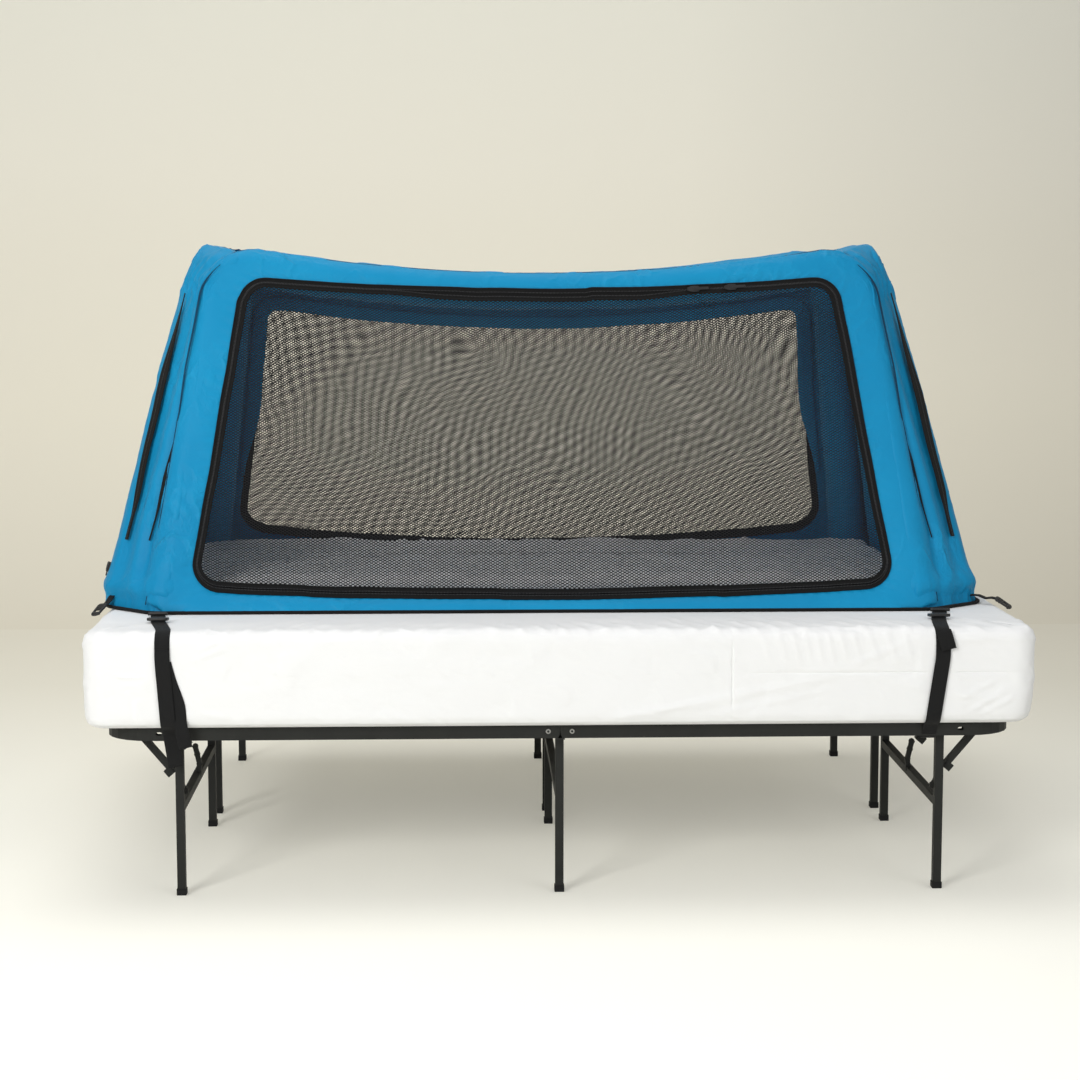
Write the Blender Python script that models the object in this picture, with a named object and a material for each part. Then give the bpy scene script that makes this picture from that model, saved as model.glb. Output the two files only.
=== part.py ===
"""Inflatable travel bed: an air-beam fabric enclosure strapped to a mattress on a folding steel platform.

Metres, +Z up, origin on the floor under the middle of the bed. +X runs along the bed's length and +Y
away from the side with the door. The platform is two units side by side, front and rear, and each unit
has a left and a right half that fold down about rivets beside its middle legs.
"""

import math

import bmesh
import bpy
from mathutils import Matrix, Vector

# Gap between neighbouring pieces, play of a pin in its hole, and how far a cutter runs past a face
GAP = 0.0003
PIN_PLAY = 0.0003
CUT_PAST = 0.010
SMALLEST_CORNER = 0.004

# Outer mattress, which the platform is made for
MATTRESS_LENGTH = 2.030
MATTRESS_WIDTH = 1.524
MATTRESS_HEIGHT = 0.208
MATTRESS_CORNER = 0.050
MATTRESS_EDGE = 0.028
COVER_SHEET = 0.003
COVER_HEM = 0.026
HINGE_HOLLOW_DEPTH = 0.016
HINGE_HOLLOW_LENGTH = 0.110
HINGE_HOLLOW_MARGIN = 0.006

# Platform
RAIL_TOP = 0.376
RAIL_HEIGHT = 0.030
RAIL_WIDTH = 0.020
RAIL_WALL = 0.0018
RAIL_SETBACK = 0.036
RAIL_END_SETBACK = 0.037
RAIL_CORNER = 0.090
UNIT_GAP = 0.052
SEAM_X = -0.0045
SEAM_GAP = 0.0006
HINGE_OFFSET = 0.0255
SLOT_SETBACK = 0.120
SLOT_LENGTH = 0.014
SLOT_HEIGHT = 0.007
SLAT_COUNT = 6
SLAT_FIRST = 0.100
SLAT_LAST_SETBACK = 0.118
SLAT_WIDTH = 0.032
SLAT_FLANGE = 0.009
SLAT_SLOPE = 0.003
SLAT_RIB = 0.005
SLAT_SHEET = 0.0018
WELD = 0.0009

# Legs
LEG_SETBACK = 0.158
LEG_SIZE = 0.018
LEG_INSET = 0.0125
LEG_PIVOT_DROP = 0.024
CROSSBAR_HEIGHT = 0.192
MID_CROSSBAR_HEIGHT = 0.214
FOOT_HEIGHT = 0.014
FOOT_WALL = 0.0016
FOOT_CHAMFER = 0.0012
BRACKET_SHEET = 0.003
BRACKET_LENGTH = 0.038
BRACKET_MARGIN = 0.0025
BOSS_RADIUS = 0.0085
LEG_PIN_RADIUS = 0.004
LEG_PIN_HEAD = 0.007
HEAD_THICKNESS = 0.0024
PIN_SIDES = 8
HOLE_SIDES = 12

# Braces, from a pivot on the end rail to a hook block beside the leg
BRACE_SETBACK = 0.070
BRACE_SIZE = 0.014
BRACE_REACH = 0.106
BRACE_ANGLE = math.radians(50.0)
BRACE_BLOCK = 0.017
BRACE_BLOCK_DROP = 0.0065
BRACE_LEG_GAP = 0.0125
BRACE_PIN_RADIUS = 0.003
BRACE_PIN_HEAD = 0.0052
BRACE_HEAD_THICKNESS = 0.0017
BRACE_STUD_RADIUS = 0.0028
BRACE_STUD_PROUD = 0.0012
BRACE_STUD_OFFSET = 0.002
EAR_REACH = 0.009
EAR_PLAY = 0.0005
EAR_WEB = 0.012
KNUCKLE_RADIUS = 0.007
KNUCKLE_THICKNESS = 0.008
KNUCKLE_LINK_WIDTH = 0.0112
KNUCKLE_LINK_THICKNESS = 0.0072
LEG_KNUCKLES = ((0.002, 0.053), (0.002, 0.046), (0.010, 0.034))
CROSSBAR_KNUCKLES = ((0.004, 0.0), (0.006, 0.029), (0.001, 0.051), (-0.003, 0.069))

# Middle hinge
RIVET_RADIUS = 0.003
RIVET_BORE = 0.0018
RIVET_HEAD = 0.0058
RIVET_DOME = 0.0046
RIVET_RIM = 0.0049
RIVET_HEAD_THICKNESS = 0.0012
HINGE_NOSE_STEPS = 3
HINGE_PLATE_LENGTH = 0.095
HINGE_PLATE_HEIGHT = 0.024
HINGE_LIP_WIDTH = 0.020
CLIP_X = 0.500
CLIP_LENGTH = 0.040
CLIP_LIP = 0.012

# Enclosure: arches of air beams in fabric sleeves, leaning in on all four sides
ENCLOSURE_X = -0.030
SHEET = 0.002
BASE_RADIUS = 0.051
TOP_RADIUS = 0.042
SLEEVE_SHEET = 0.0025
SLEEVE_SIDES = 12
SIDE_BASE_X = 0.845
SIDE_BASE_Y = 0.450
SIDE_TOP_X = 0.735
SIDE_TOP_Y = 0.205
SIDE_TOP_Z = 1.352
SIDE_SAG = 0.060
END_BASE_X = 0.944
END_BASE_Y = 0.372
END_TOP_X = 0.765
END_TOP_Y = 0.118
END_TOP_Z = 1.358
END_SAG = 0.004
END_BOW = 0.010
ARCH_FILLET = 0.085
ARCH_STEPS = 4
BEAM_STEPS = 3
END_FILLET = 0.060
BINDING_RADIUS = 0.004
BASE_MARGIN = 0.0085
PAD_HEIGHT = 0.070
PAD_HALF_LENGTH = 0.868
PAD_HALF_WIDTH = 0.370
PAD_EDGE = 0.028
PAD_CORNER = 0.060
PANEL_GAP = 0.0035

# Door in the front wall and window in the back wall, both framed by a zip
DOOR_LOW = 0.020
DOOR_BASE_X = 0.792
DOOR_TOP_X = 0.682
DOOR_HIGH = 0.722
DOOR_SAG = 0.024
DOOR_CORNER = 0.060
WINDOW_BASE_X = 0.772
WINDOW_TOP_X = 0.694
WINDOW_HIGH = 0.668
WINDOW_SAG = 0.050
WINDOW_CORNER = 0.070
DOOR_PROUD = 0.046
ZIP_WIDTH = 0.010
ZIP_THICKNESS = 0.0026
MESH_SHEET = 0.0014
SLIDER_XS = {"left": 0.320, "right": 0.405}
SLIDER_LENGTH = 0.028
SLIDER_WIDTH = 0.014
SLIDER_TAIL_WIDTH = 0.007
SLIDER_SHOULDER = 0.010
SLIDER_HEIGHT = 0.005
SLIDER_GAP = 0.0008
PULL_LENGTH = 0.036
PULL_WIDTH = 0.0065
PULL_SHEET = 0.0026

# Straps and small fittings
WEB_WIDTH = 0.032
WEB_SHEET = 0.0018
STRAP_LEFT_X = -0.838
STRAP_RIGHT_X = 0.796
STRAP_SPLIT_DROP = 0.036
STRAP_TAIL_Z = 0.290
STRAP_LOOP_DROP = 0.007
STRAP_LOOP_REACH = 0.014
STRAP_LOOP_TURN = 0.003
STRAP_FALL_RISE = 0.004
STRAP_RAIL_DROP = 0.008
BUCKLE_SETBACK = 0.134
BUCKLE_LENGTH = 0.030
BUCKLE_HEIGHT = 0.005
BUCKLE_RIM = 0.005
BUCKLE_BAR = 0.0054
BUCKLE_SLOT = 0.0078
STRAP_STAND_OFF = 0.002
TAB_WIDTH = 0.022
TAB_Y = 0.428
TAB_REACH = 1.040
VALVE_HEIGHT = 0.072
VALVE_RADIUS = 0.013
VALVE_TOP_RADIUS = 0.0114
VALVE_DEPTH = 0.009
VALVE_CAP = 0.004
VALVE_CAP_RADIUS = 0.0117
VALVE_TAB = 0.008
VALVE_TAB_SHEET = 0.0024

# Derived sizes and places
RAIL_REACH = MATTRESS_LENGTH / 2 - RAIL_END_SETBACK
UNIT_DEPTH = (MATTRESS_WIDTH - UNIT_GAP) / 2 - RAIL_SETBACK
UNIT_SPACING = UNIT_DEPTH + UNIT_GAP
SLOT_X = RAIL_REACH - SLOT_SETBACK
SLAT_PITCH = (RAIL_REACH - SLAT_LAST_SETBACK - SLAT_FIRST) / (SLAT_COUNT - 1)
LEG_X = RAIL_REACH - LEG_SETBACK
BRACE_PIVOT_X = RAIL_REACH - BRACE_SETBACK
BUCKLE_Y = MATTRESS_WIDTH / 2 - BUCKLE_SETBACK
RAIL_LOW = RAIL_TOP - RAIL_HEIGHT
HINGE_Z = RAIL_TOP - RAIL_HEIGHT / 2
LEG_PIVOT_Z = RAIL_TOP - LEG_PIVOT_DROP
LEG_ROW = UNIT_DEPTH / 2 - RAIL_WIDTH - LEG_INSET - LEG_SIZE / 2
BRACE_ROW = LEG_ROW - LEG_SIZE / 2 - BRACE_LEG_GAP
MATTRESS_LOW = RAIL_TOP + GAP
MATTRESS_TOP = MATTRESS_LOW + MATTRESS_HEIGHT
FLOOR_TOP = MATTRESS_TOP + GAP + SHEET
FOOT_Z = FLOOR_TOP + GAP
DOOR_LIFT = ZIP_THICKNESS + GAP
UNITS = {"front": -1, "rear": 1}
ENDS = {"left": -1, "right": 1}


def clear_scene():
    for ob in list(bpy.data.objects):
        bpy.data.objects.remove(ob, do_unlink=True)


def material(name, colour, roughness, metallic=0.0):
    mat = bpy.data.materials.new(name)
    mat.use_nodes = True
    shader = mat.node_tree.nodes["Principled BSDF"]
    shader.inputs["Base Color"].default_value = (*colour, 1.0)
    shader.inputs["Roughness"].default_value = roughness
    shader.inputs["Metallic"].default_value = metallic
    return mat


def finish(name, bm, mat, origin=(0.0, 0.0, 0.0), smooth=None):
    """Turn a bmesh in world coordinates into a named object whose origin is at the given point."""
    bmesh.ops.recalc_face_normals(bm, faces=bm.faces)
    bmesh.ops.translate(bm, verts=bm.verts, vec=-Vector(origin))
    mesh = bpy.data.meshes.new(name)
    bm.to_mesh(mesh)
    bm.free()
    mesh.materials.append(mat)
    if smooth:
        mesh.shade_smooth()
        mesh.set_sharp_from_angle(angle=math.radians(smooth))
    ob = bpy.data.objects.new(name, mesh)
    ob.location = origin
    bpy.context.collection.objects.link(ob)
    return ob


def boolean(target, tools, operation):
    """Fuse or cut target with the closed bmeshes in tools, one after another, and keep the result."""
    result = target
    for tool in tools:
        pair = []
        for label, shape in (("target", result), ("tool", tool)):
            bmesh.ops.recalc_face_normals(shape, faces=shape.faces)
            mesh = bpy.data.meshes.new(label)
            shape.to_mesh(mesh)
            shape.free()
            ob = bpy.data.objects.new(label, mesh)
            bpy.context.collection.objects.link(ob)
            pair.append(ob)
        modifier = pair[0].modifiers.new("join", "BOOLEAN")
        modifier.operation = operation
        modifier.solver = "EXACT"
        modifier.object = pair[1]
        bpy.context.view_layer.update()
        evaluated = pair[0].evaluated_get(bpy.context.evaluated_depsgraph_get())
        result = bmesh.new()
        result.from_mesh(evaluated.to_mesh())
        evaluated.to_mesh_clear()
        for ob in pair:
            mesh = ob.data
            bpy.data.objects.remove(ob, do_unlink=True)
            bpy.data.meshes.remove(mesh)
        bmesh.ops.dissolve_limit(
            result, angle_limit=math.radians(0.2), verts=result.verts, edges=result.edges
        )
    return result


def add_block(bm, low, high):
    """Box between two opposite corners."""
    low, high = Vector(low), Vector(high)
    middle = Matrix.Translation((low + high) / 2)
    scale = Matrix.Diagonal((*(high - low), 1.0))
    return bmesh.ops.create_cube(bm, size=1.0, matrix=middle @ scale)["verts"]


def add_rod(bm, start, end, radius, sides=12, end_radius=None):
    """Round bar or cone between two points."""
    start, end = Vector(start), Vector(end)
    along = end - start
    turn = Vector((0, 0, 1)).rotation_difference(along).to_matrix().to_4x4()
    place = Matrix.Translation((start + end) / 2) @ turn
    return bmesh.ops.create_cone(
        bm,
        cap_ends=True,
        segments=sides,
        radius1=radius,
        radius2=radius if end_radius is None else end_radius,
        depth=along.length,
        matrix=place,
    )["verts"]


def turned(x, z, profile, sides=PIN_SIDES):
    """Piece turned about a line along Y, from pairs of place along it and radius."""
    turns = [2 * math.pi * k / sides for k in range(sides)]
    rings = []
    for y, radius in profile:
        rings.append([Vector((x + radius * math.cos(a), y, z + radius * math.sin(a))) for a in turns])
    return solid(add_loft, rings)


def solid(add, *args, **kwargs):
    """A new bmesh holding one shape made by an add function."""
    bm = bmesh.new()
    add(bm, *args, **kwargs)
    return bm


def add_loft(bm, rings, closed=False, caps=True):
    """Skin between rings of points with equal counts. A closed loft joins the last ring to the first."""
    verts = [[bm.verts.new(p) for p in ring] for ring in rings]
    count = len(verts[0])
    pairs = list(zip(verts, verts[1:]))
    if closed:
        pairs.append((verts[-1], verts[0]))
    for here, there in pairs:
        for k in range(count):
            n = (k + 1) % count
            bm.faces.new((here[k], here[n], there[n], there[k]))
    if caps and not closed:
        bm.faces.new(verts[0])
        bm.faces.new(verts[-1])
    return verts


def add_shell_loft(bm, outer, inner):
    """Pipe wall between an outer and an inner loft, open at both ends."""
    out_verts = add_loft(bm, outer, caps=False)
    in_verts = add_loft(bm, inner, caps=False)
    for end in (0, -1):
        count = len(out_verts[end])
        for k in range(count):
            n = (k + 1) % count
            ring = (out_verts[end][k], out_verts[end][n], in_verts[end][n], in_verts[end][k])
            bm.faces.new(ring)


def add_prism(bm, outline, thickness):
    """Plate from a flat outline of points, thickened along a vector."""
    add_loft(bm, [[Vector(p) for p in outline], [Vector(p) + Vector(thickness) for p in outline]])


def fillet(points, radius, steps, closed=False):
    """Round the corners of a 2-D polyline with arcs of the given radius, each of a few steps."""
    points = [Vector(p) for p in points]
    count = len(points)
    result = []
    for i, corner in enumerate(points):
        if not closed and i in (0, count - 1):
            result.append(corner)
            continue
        before = (points[i - 1] - corner).normalized()
        after = (points[(i + 1) % count] - corner).normalized()
        half = before.angle(after) / 2
        tangent = radius / math.tan(half)
        centre = corner + (before + after).normalized() * (radius / math.sin(half))
        start = corner + before * tangent - centre
        sweep = math.pi - 2 * half
        turn = sweep if start.cross(corner + after * tangent - centre) > 0 else -sweep
        for k in range(steps + 1):
            result.append(centre + Matrix.Rotation(turn * k / steps, 2) @ start)
    return result


def arch_frames(path):
    """Tangent and two side vectors along an arch that lies in a plane, one side being its normal."""
    normal = (path[1] - path[0]).cross(path[-1] - path[0]).normalized()
    frames = []
    for i, point in enumerate(path):
        ahead = path[min(i + 1, len(path) - 1)]
        behind = path[max(i - 1, 0)]
        tangent = (ahead - behind).normalized()
        side = (normal - tangent * normal.dot(tangent)).normalized()
        frames.append((point, tangent, side, tangent.cross(side)))
    return frames


def tube_rings(path, radii, sides, foot_z=None):
    """Rings round a path. With foot_z, the first and last ring are cut level at that height."""
    rings = []
    frames = arch_frames(path)
    for (point, tangent, side, up), radius in zip(frames, radii):
        ring = []
        for k in range(sides):
            angle = 2 * math.pi * k / sides
            ring.append(point + radius * (math.cos(angle) * side + math.sin(angle) * up))
        rings.append(ring)
    if foot_z is not None:
        for end in (0, -1):
            tangent = frames[end][1]
            rings[end] = [p + tangent * ((foot_z - p.z) / tangent.z) for p in rings[end]]
    return rings


# Platform


def unit_centre(unit):
    return UNITS[unit] * UNIT_SPACING / 2


def hinge_x(end):
    return SEAM_X + ENDS[end] * HINGE_OFFSET


def rail_stations(unit, end):
    """Path of one U-shaped rail from seam to seam, as (x, y, outward side vector, low z)."""
    sign = ENDS[end]
    centre = unit_centre(unit)
    half = (UNIT_DEPTH - RAIL_WIDTH) / 2
    seam = SEAM_X + sign * SEAM_GAP / 2
    pivot = hinge_x(end)
    far = sign * (RAIL_REACH - RAIL_WIDTH / 2)
    reach = abs(pivot - seam)
    nose = []
    for k in range(HINGE_NOSE_STEPS + 1):
        low = RAIL_HEIGHT / 2 * math.sin(math.pi / 2 * k / HINGE_NOSE_STEPS)
        nose.append((pivot - sign * math.sqrt(reach**2 - low**2), HINGE_Z - low))
    path = [Vector((seam, centre - half)), Vector((far, centre - half))]
    path += [Vector((far, centre + half)), Vector((seam, centre + half))]
    middle = fillet(path, RAIL_CORNER, 6)[1:-1]
    near = [(Vector((x, centre - half)), low) for x, low in nose]
    back = [(Vector((x, centre + half)), low) for x, low in reversed(nose)]
    points = near + [(p, RAIL_LOW) for p in middle] + back
    stations = []
    for i, (point, low) in enumerate(points):
        behind = points[max(i - 1, 0)][0]
        ahead = points[min(i + 1, len(points) - 1)][0]
        if i < len(near):
            behind, ahead = Vector((seam, 0)), Vector((far, 0))
        if i >= len(points) - len(back):
            behind, ahead = Vector((far, 0)), Vector((seam, 0))
        tangent = (ahead - behind).normalized()
        stations.append((point, Vector((tangent.y, -tangent.x)), low))
    return stations


def rail_rings(stations, wall):
    rings = []
    for point, side, low in stations:
        reach = side * (RAIL_WIDTH / 2 - wall)
        top = Vector((point.x, point.y, RAIL_TOP - wall))
        bottom = Vector((point.x, point.y, low + wall))
        across = Vector((reach.x, reach.y, 0))
        rings.append([top + across, top - across, bottom - across, bottom + across])
    return rings


def pin_hole(x, z, y, reach, radius):
    """Cutter along Y for the hole that a pin turns in."""
    bore = radius + PIN_PLAY
    return turned(x, z, [(y - reach, bore), (y + reach, bore)], HOLE_SIDES)


def slot_cutter(x, y):
    """Oval hole through a rail along Y."""
    radius = SLOT_HEIGHT / 2
    straight = SLOT_LENGTH / 2 - radius
    steps = 3
    outline = []
    for k in range(2 * steps + 2):
        angle = math.pi * (k if k <= steps else k - 1) / steps - math.pi / 2
        middle = x + (straight if k <= steps else -straight)
        along = middle + radius * math.cos(angle)
        outline.append(Vector((along, y - RAIL_WIDTH, HINGE_Z + radius * math.sin(angle))))
    return solid(add_prism, outline, (0, 2 * RAIL_WIDTH, 0))


def rail_tube(unit, end):
    """Hollow U-shaped rail with its rivet holes and slots."""
    stations = rail_stations(unit, end)
    bm = bmesh.new()
    add_shell_loft(bm, rail_rings(stations, 0.0), rail_rings(stations, RAIL_WALL))
    half = (UNIT_DEPTH - RAIL_WIDTH) / 2
    x = hinge_x(end)
    cutters = []
    for row in (-1, 1):
        y = unit_centre(unit) + row * half
        cutters.append(pin_hole(x, HINGE_Z, y, RAIL_WIDTH, RIVET_RADIUS))
        cutters.append(slot_cutter(ENDS[end] * SLOT_X, y))
    return boolean(bm, cutters, "DIFFERENCE")


def slat_outline(x):
    """Pressed steel slat seen from its end: flat flanges and a sunk rib along the middle."""
    half = SLAT_WIDTH / 2
    top = [(-half, 0.0), (-half + SLAT_FLANGE, 0.0)]
    top.append((-half + SLAT_FLANGE + SLAT_SLOPE, -SLAT_RIB + SLAT_SHEET))
    top += [(-u, z) for u, z in reversed(top)]
    under = [(u, z - SLAT_SHEET) for u, z in reversed(top)]
    return [Vector((x + u, 0.0, RAIL_TOP - WELD / 2 + z)) for u, z in top + under]


def slats(unit, end):
    run = UNIT_DEPTH - 2 * RAIL_WIDTH + 2 * WELD
    start = Vector((0, unit_centre(unit) - run / 2, 0))
    shapes = []
    for k in range(SLAT_COUNT):
        outline = slat_outline(ENDS[end] * (SLAT_FIRST + k * SLAT_PITCH))
        shapes.append(solid(add_prism, [p + start for p in outline], (0, run, 0)))
    return shapes


def leg_mount(x, centre, row):
    """Plate welded to the rail, with a boss out to the leg and the riveted pin that the leg turns on."""
    rail_face = centre + row * (UNIT_DEPTH / 2 - RAIL_WIDTH)
    ys = sorted((rail_face + row * WELD, rail_face - row * BRACKET_SHEET))
    half = BRACKET_LENGTH / 2
    low, high = RAIL_LOW + BRACKET_MARGIN, RAIL_TOP - BRACKET_MARGIN
    plate = solid(add_block, (x - half, ys[0], low), (x + half, ys[1], high))
    leg_outer = centre + row * (LEG_ROW + LEG_SIZE / 2 + GAP)
    leg_inner = centre + row * (LEG_ROW - LEG_SIZE / 2 - GAP)
    boss = [(rail_face - row * BRACKET_SHEET / 2, BOSS_RADIUS), (leg_outer, BOSS_RADIUS)]
    pin = [(leg_outer, LEG_PIN_RADIUS), (leg_inner, LEG_PIN_RADIUS)]
    head = [(leg_inner, LEG_PIN_HEAD), (leg_inner - row * HEAD_THICKNESS, LEG_PIN_HEAD)]
    return [plate, turned(x, LEG_PIVOT_Z, boss + pin + head)]


def end_rail_face(offset):
    """Distance from the bed's middle to the end rail's inner face, at an offset from the unit's middle."""
    bend = UNIT_DEPTH / 2 - RAIL_WIDTH / 2 - RAIL_CORNER
    past = max(abs(offset) - bend, 0.0)
    inner = RAIL_CORNER - RAIL_WIDTH / 2
    return RAIL_REACH - RAIL_WIDTH / 2 - RAIL_CORNER + math.sqrt(inner**2 - past**2)


def brace_mount(sign, centre, offset):
    """Channel bracket welded to the end rail, with the rivet that a brace turns on."""
    x = sign * BRACE_PIVOT_X
    y = centre + offset
    near = BRACE_SIZE / 2 + EAR_PLAY
    far = near + BRACKET_SHEET
    open_end = x - sign * EAR_REACH
    web = x + sign * EAR_WEB
    outline = []
    for side in (-1, 1):
        face = min(end_rail_face(offset + side * near), end_rail_face(offset + side * far))
        welded = sign * (face + WELD)
        ear = [(open_end, side * far), (welded, side * far), (welded, side * near)]
        ear.append((web + sign * BRACKET_SHEET, side * near))
        outline += ear[::-side]
    outline += [(open_end, near), (web, near), (web, -near), (open_end, -near)]
    low = LEG_PIVOT_Z - EAR_REACH
    plan = [Vector((u, y + v, low)) for u, v in outline]
    channel = solid(add_prism, plan, (0, 0, 2 * EAR_REACH))
    inner = far - BRACKET_SHEET / 2
    tip = far + BRACE_HEAD_THICKNESS
    half = [(inner, BRACE_PIN_RADIUS), (inner, BRACE_PIN_HEAD), (tip, BRACE_PIN_HEAD)]
    profile = [(y - reach, radius) for reach, radius in reversed(half)]
    profile += [(y + reach, radius) for reach, radius in half]
    return [channel, turned(x, LEG_PIVOT_Z, profile)]


def brace_offsets(unit):
    """Where the braces of a unit stand from its middle, by name."""
    return {"outer": UNITS[unit] * BRACE_ROW, "middle": 0.0, "inner": -UNITS[unit] * BRACE_ROW}


def make_deck_frame(unit, end, mat):
    sign = ENDS[end]
    centre = unit_centre(unit)
    shapes = slats(unit, end)
    for row in (-1, 1):
        shapes += leg_mount(sign * LEG_X, centre, row)
    for offset in brace_offsets(unit).values():
        shapes += brace_mount(sign, centre, offset)
    bm = boolean(rail_tube(unit, end), shapes, "UNION")
    finish(f"deck_frame_{unit}_{end}", bm, mat, origin=(hinge_x(end), centre, HINGE_Z))


def leg_frame(unit, x, top, crossbar_z):
    """Two square legs in plastic foot caps, with a crossbar welded between them."""
    half = LEG_SIZE / 2
    rows = [unit_centre(unit) + row * LEG_ROW for row in (-1, 1)]
    low = FOOT_HEIGHT / 2
    shapes = []
    for y in rows:
        shapes.append(solid(add_block, (x - half, y - half, low), (x + half, y + half, top)))
        shapes.append(foot_cap(x, y))
    inset = half - WELD / 2
    bar = solid(
        add_block,
        (x - inset, rows[0], crossbar_z - half),
        (x + inset, rows[1], crossbar_z + half),
    )
    return boolean(bar, shapes, "UNION")


def foot_cap(x, y):
    """Plastic cup on the end of a leg, a little wider at its rim than on the floor."""
    outer = LEG_SIZE / 2 + FOOT_WALL
    corners = ((-1, -1), (1, -1), (1, 1), (-1, 1))
    rings = []
    for half, z in ((outer - FOOT_CHAMFER, 0.0), (outer, FOOT_CHAMFER), (outer, FOOT_HEIGHT)):
        rings.append([Vector((x + u * half, y + v * half, z)) for u, v in corners])
    return solid(add_loft, rings)


def knuckle(x, y, points, sign):
    """Row of round knuckle plates standing on a leg or crossbar, seen along Y."""
    shapes = []
    for start, end in zip(points, points[1:]):
        a = Vector((x - sign * start[0], 0, start[1]))
        b = Vector((x - sign * end[0], 0, end[1]))
        across = (b - a).normalized().cross(Vector((0, 1, 0))) * (KNUCKLE_LINK_WIDTH / 2)
        outline = [a + across, b + across, b - across, a - across]
        lift = Vector((0, y - KNUCKLE_LINK_THICKNESS / 2, 0))
        shapes.append(solid(add_prism, [p + lift for p in outline], (0, KNUCKLE_LINK_THICKNESS, 0)))
    half = KNUCKLE_THICKNESS / 2
    for u, z in points[1:]:
        shapes.append(turned(x - sign * u, z, [(y - half, KNUCKLE_RADIUS), (y + half, KNUCKLE_RADIUS)]))
    return shapes


def make_end_legs(unit, end, mat):
    """Leg frame that folds inwards, with knuckle plates beside the legs and on the crossbar."""
    sign = ENDS[end]
    x = sign * LEG_X
    centre = unit_centre(unit)
    bm = leg_frame(unit, x, LEG_PIVOT_Z + LEG_SIZE / 2, CROSSBAR_HEIGHT)
    beside_leg = [(u, CROSSBAR_HEIGHT + rise) for u, rise in LEG_KNUCKLES]
    upright = [(u, CROSSBAR_HEIGHT + rise) for u, rise in CROSSBAR_KNUCKLES]
    shapes = knuckle(x, centre, upright, sign)
    holes = []
    for row in (-1, 1):
        face = centre + row * (LEG_ROW - LEG_SIZE / 2)
        shapes += knuckle(x, face - row * (KNUCKLE_THICKNESS / 2 - WELD / 2), beside_leg, sign)
        holes.append(pin_hole(x, LEG_PIVOT_Z, centre + row * LEG_ROW, LEG_SIZE, LEG_PIN_RADIUS))
    bm = boolean(boolean(bm, shapes, "UNION"), holes, "DIFFERENCE")
    finish(f"end_legs_{unit}_{end}", bm, mat, origin=(x, centre, LEG_PIVOT_Z))


def make_brace(unit, end, name, offset, mat):
    """Diagonal brace of square tube, with a block under its lower end that hooks beside the leg."""
    sign = ENDS[end]
    pivot = Vector((sign * BRACE_PIVOT_X, unit_centre(unit) + offset, LEG_PIVOT_Z))
    along = Vector((-sign * math.cos(BRACE_ANGLE), 0, -math.sin(BRACE_ANGLE)))
    out = Vector((-along.z * sign, 0, along.x * sign))
    half = BRACE_SIZE / 2
    wide = BRACE_BLOCK / 2
    shift = Vector((0, half, 0))
    start = pivot - along * half
    tip = pivot + along * (BRACE_REACH + wide - WELD)
    side = out * half
    tube = [start + side - shift, tip + side - shift, tip - side - shift, start - side - shift]
    bar = solid(add_prism, tube, shift * 2)
    middle = pivot + along * BRACE_REACH + out * BRACE_BLOCK_DROP
    shift = Vector((0, wide, 0))
    block = []
    for a, b in ((-1, 1), (1, 1), (1, -1), (-1, -1)):
        block.append(middle + along * a * wide + out * b * wide - shift)
    proud = wide + BRACE_STUD_PROUD
    stud_at = pivot + along * (BRACE_REACH + BRACE_STUD_OFFSET)
    profile = [(pivot.y - proud, BRACE_STUD_RADIUS), (pivot.y + proud, BRACE_STUD_RADIUS)]
    shapes = [solid(add_prism, block, shift * 2), turned(stud_at.x, stud_at.z, profile)]
    bore = pin_hole(pivot.x, pivot.z, pivot.y, BRACE_SIZE, BRACE_PIN_RADIUS)
    bm = boolean(boolean(bar, shapes, "UNION"), [bore], "DIFFERENCE")
    finish(f"brace_{unit}_{end}_{name}", bm, mat, origin=pivot)


def make_middle_legs(unit, mat):
    """Middle leg frame with the hinge plates welded on it and the hollow rivets that join the rails."""
    lip_top = RAIL_LOW - GAP
    centre = unit_centre(unit)
    bm = leg_frame(unit, SEAM_X, lip_top - BRACKET_SHEET / 2, MID_CROSSBAR_HEIGHT)
    shapes = []
    bores = []
    for row in (-1, 1):
        outer = centre + row * UNIT_DEPTH / 2
        plate_out = outer - row * (RAIL_WIDTH + GAP)
        plate_in = plate_out - row * BRACKET_SHEET
        inner = centre + row * (LEG_ROW - LEG_SIZE / 2)
        ys = sorted((plate_out, plate_in))
        half_length = HINGE_PLATE_LENGTH / 2
        half_height = HINGE_PLATE_HEIGHT / 2
        half_lip = HINGE_LIP_WIDTH / 2
        shapes.append(
            solid(
                add_block,
                (SEAM_X - half_length, ys[0], HINGE_Z - half_height),
                (SEAM_X + half_length, ys[1], HINGE_Z + half_height),
            )
        )
        lip_ys = sorted((outer, inner))
        shapes.append(
            solid(
                add_block,
                (SEAM_X - half_lip, lip_ys[0], lip_top - BRACKET_SHEET),
                (SEAM_X + half_lip, lip_ys[1], lip_top),
            )
        )
        shapes.append(
            solid(
                add_block,
                (SEAM_X - half_lip + WELD, ys[0] + WELD / 2, lip_top - BRACKET_SHEET / 2),
                (SEAM_X + half_lip - WELD, ys[1] - WELD / 2, HINGE_Z),
            )
        )
        for end in ENDS:
            shapes.append(rivet(hinge_x(end), outer, plate_in, row))
            past = [(outer + row * CUT_PAST, RIVET_BORE), (plate_in - row * CUT_PAST, RIVET_BORE)]
            bores.append(turned(hinge_x(end), HINGE_Z, past))
    bm = boolean(boolean(bm, shapes, "UNION"), bores, "DIFFERENCE")
    finish(f"middle_legs_{unit}", bm, mat)


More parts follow.
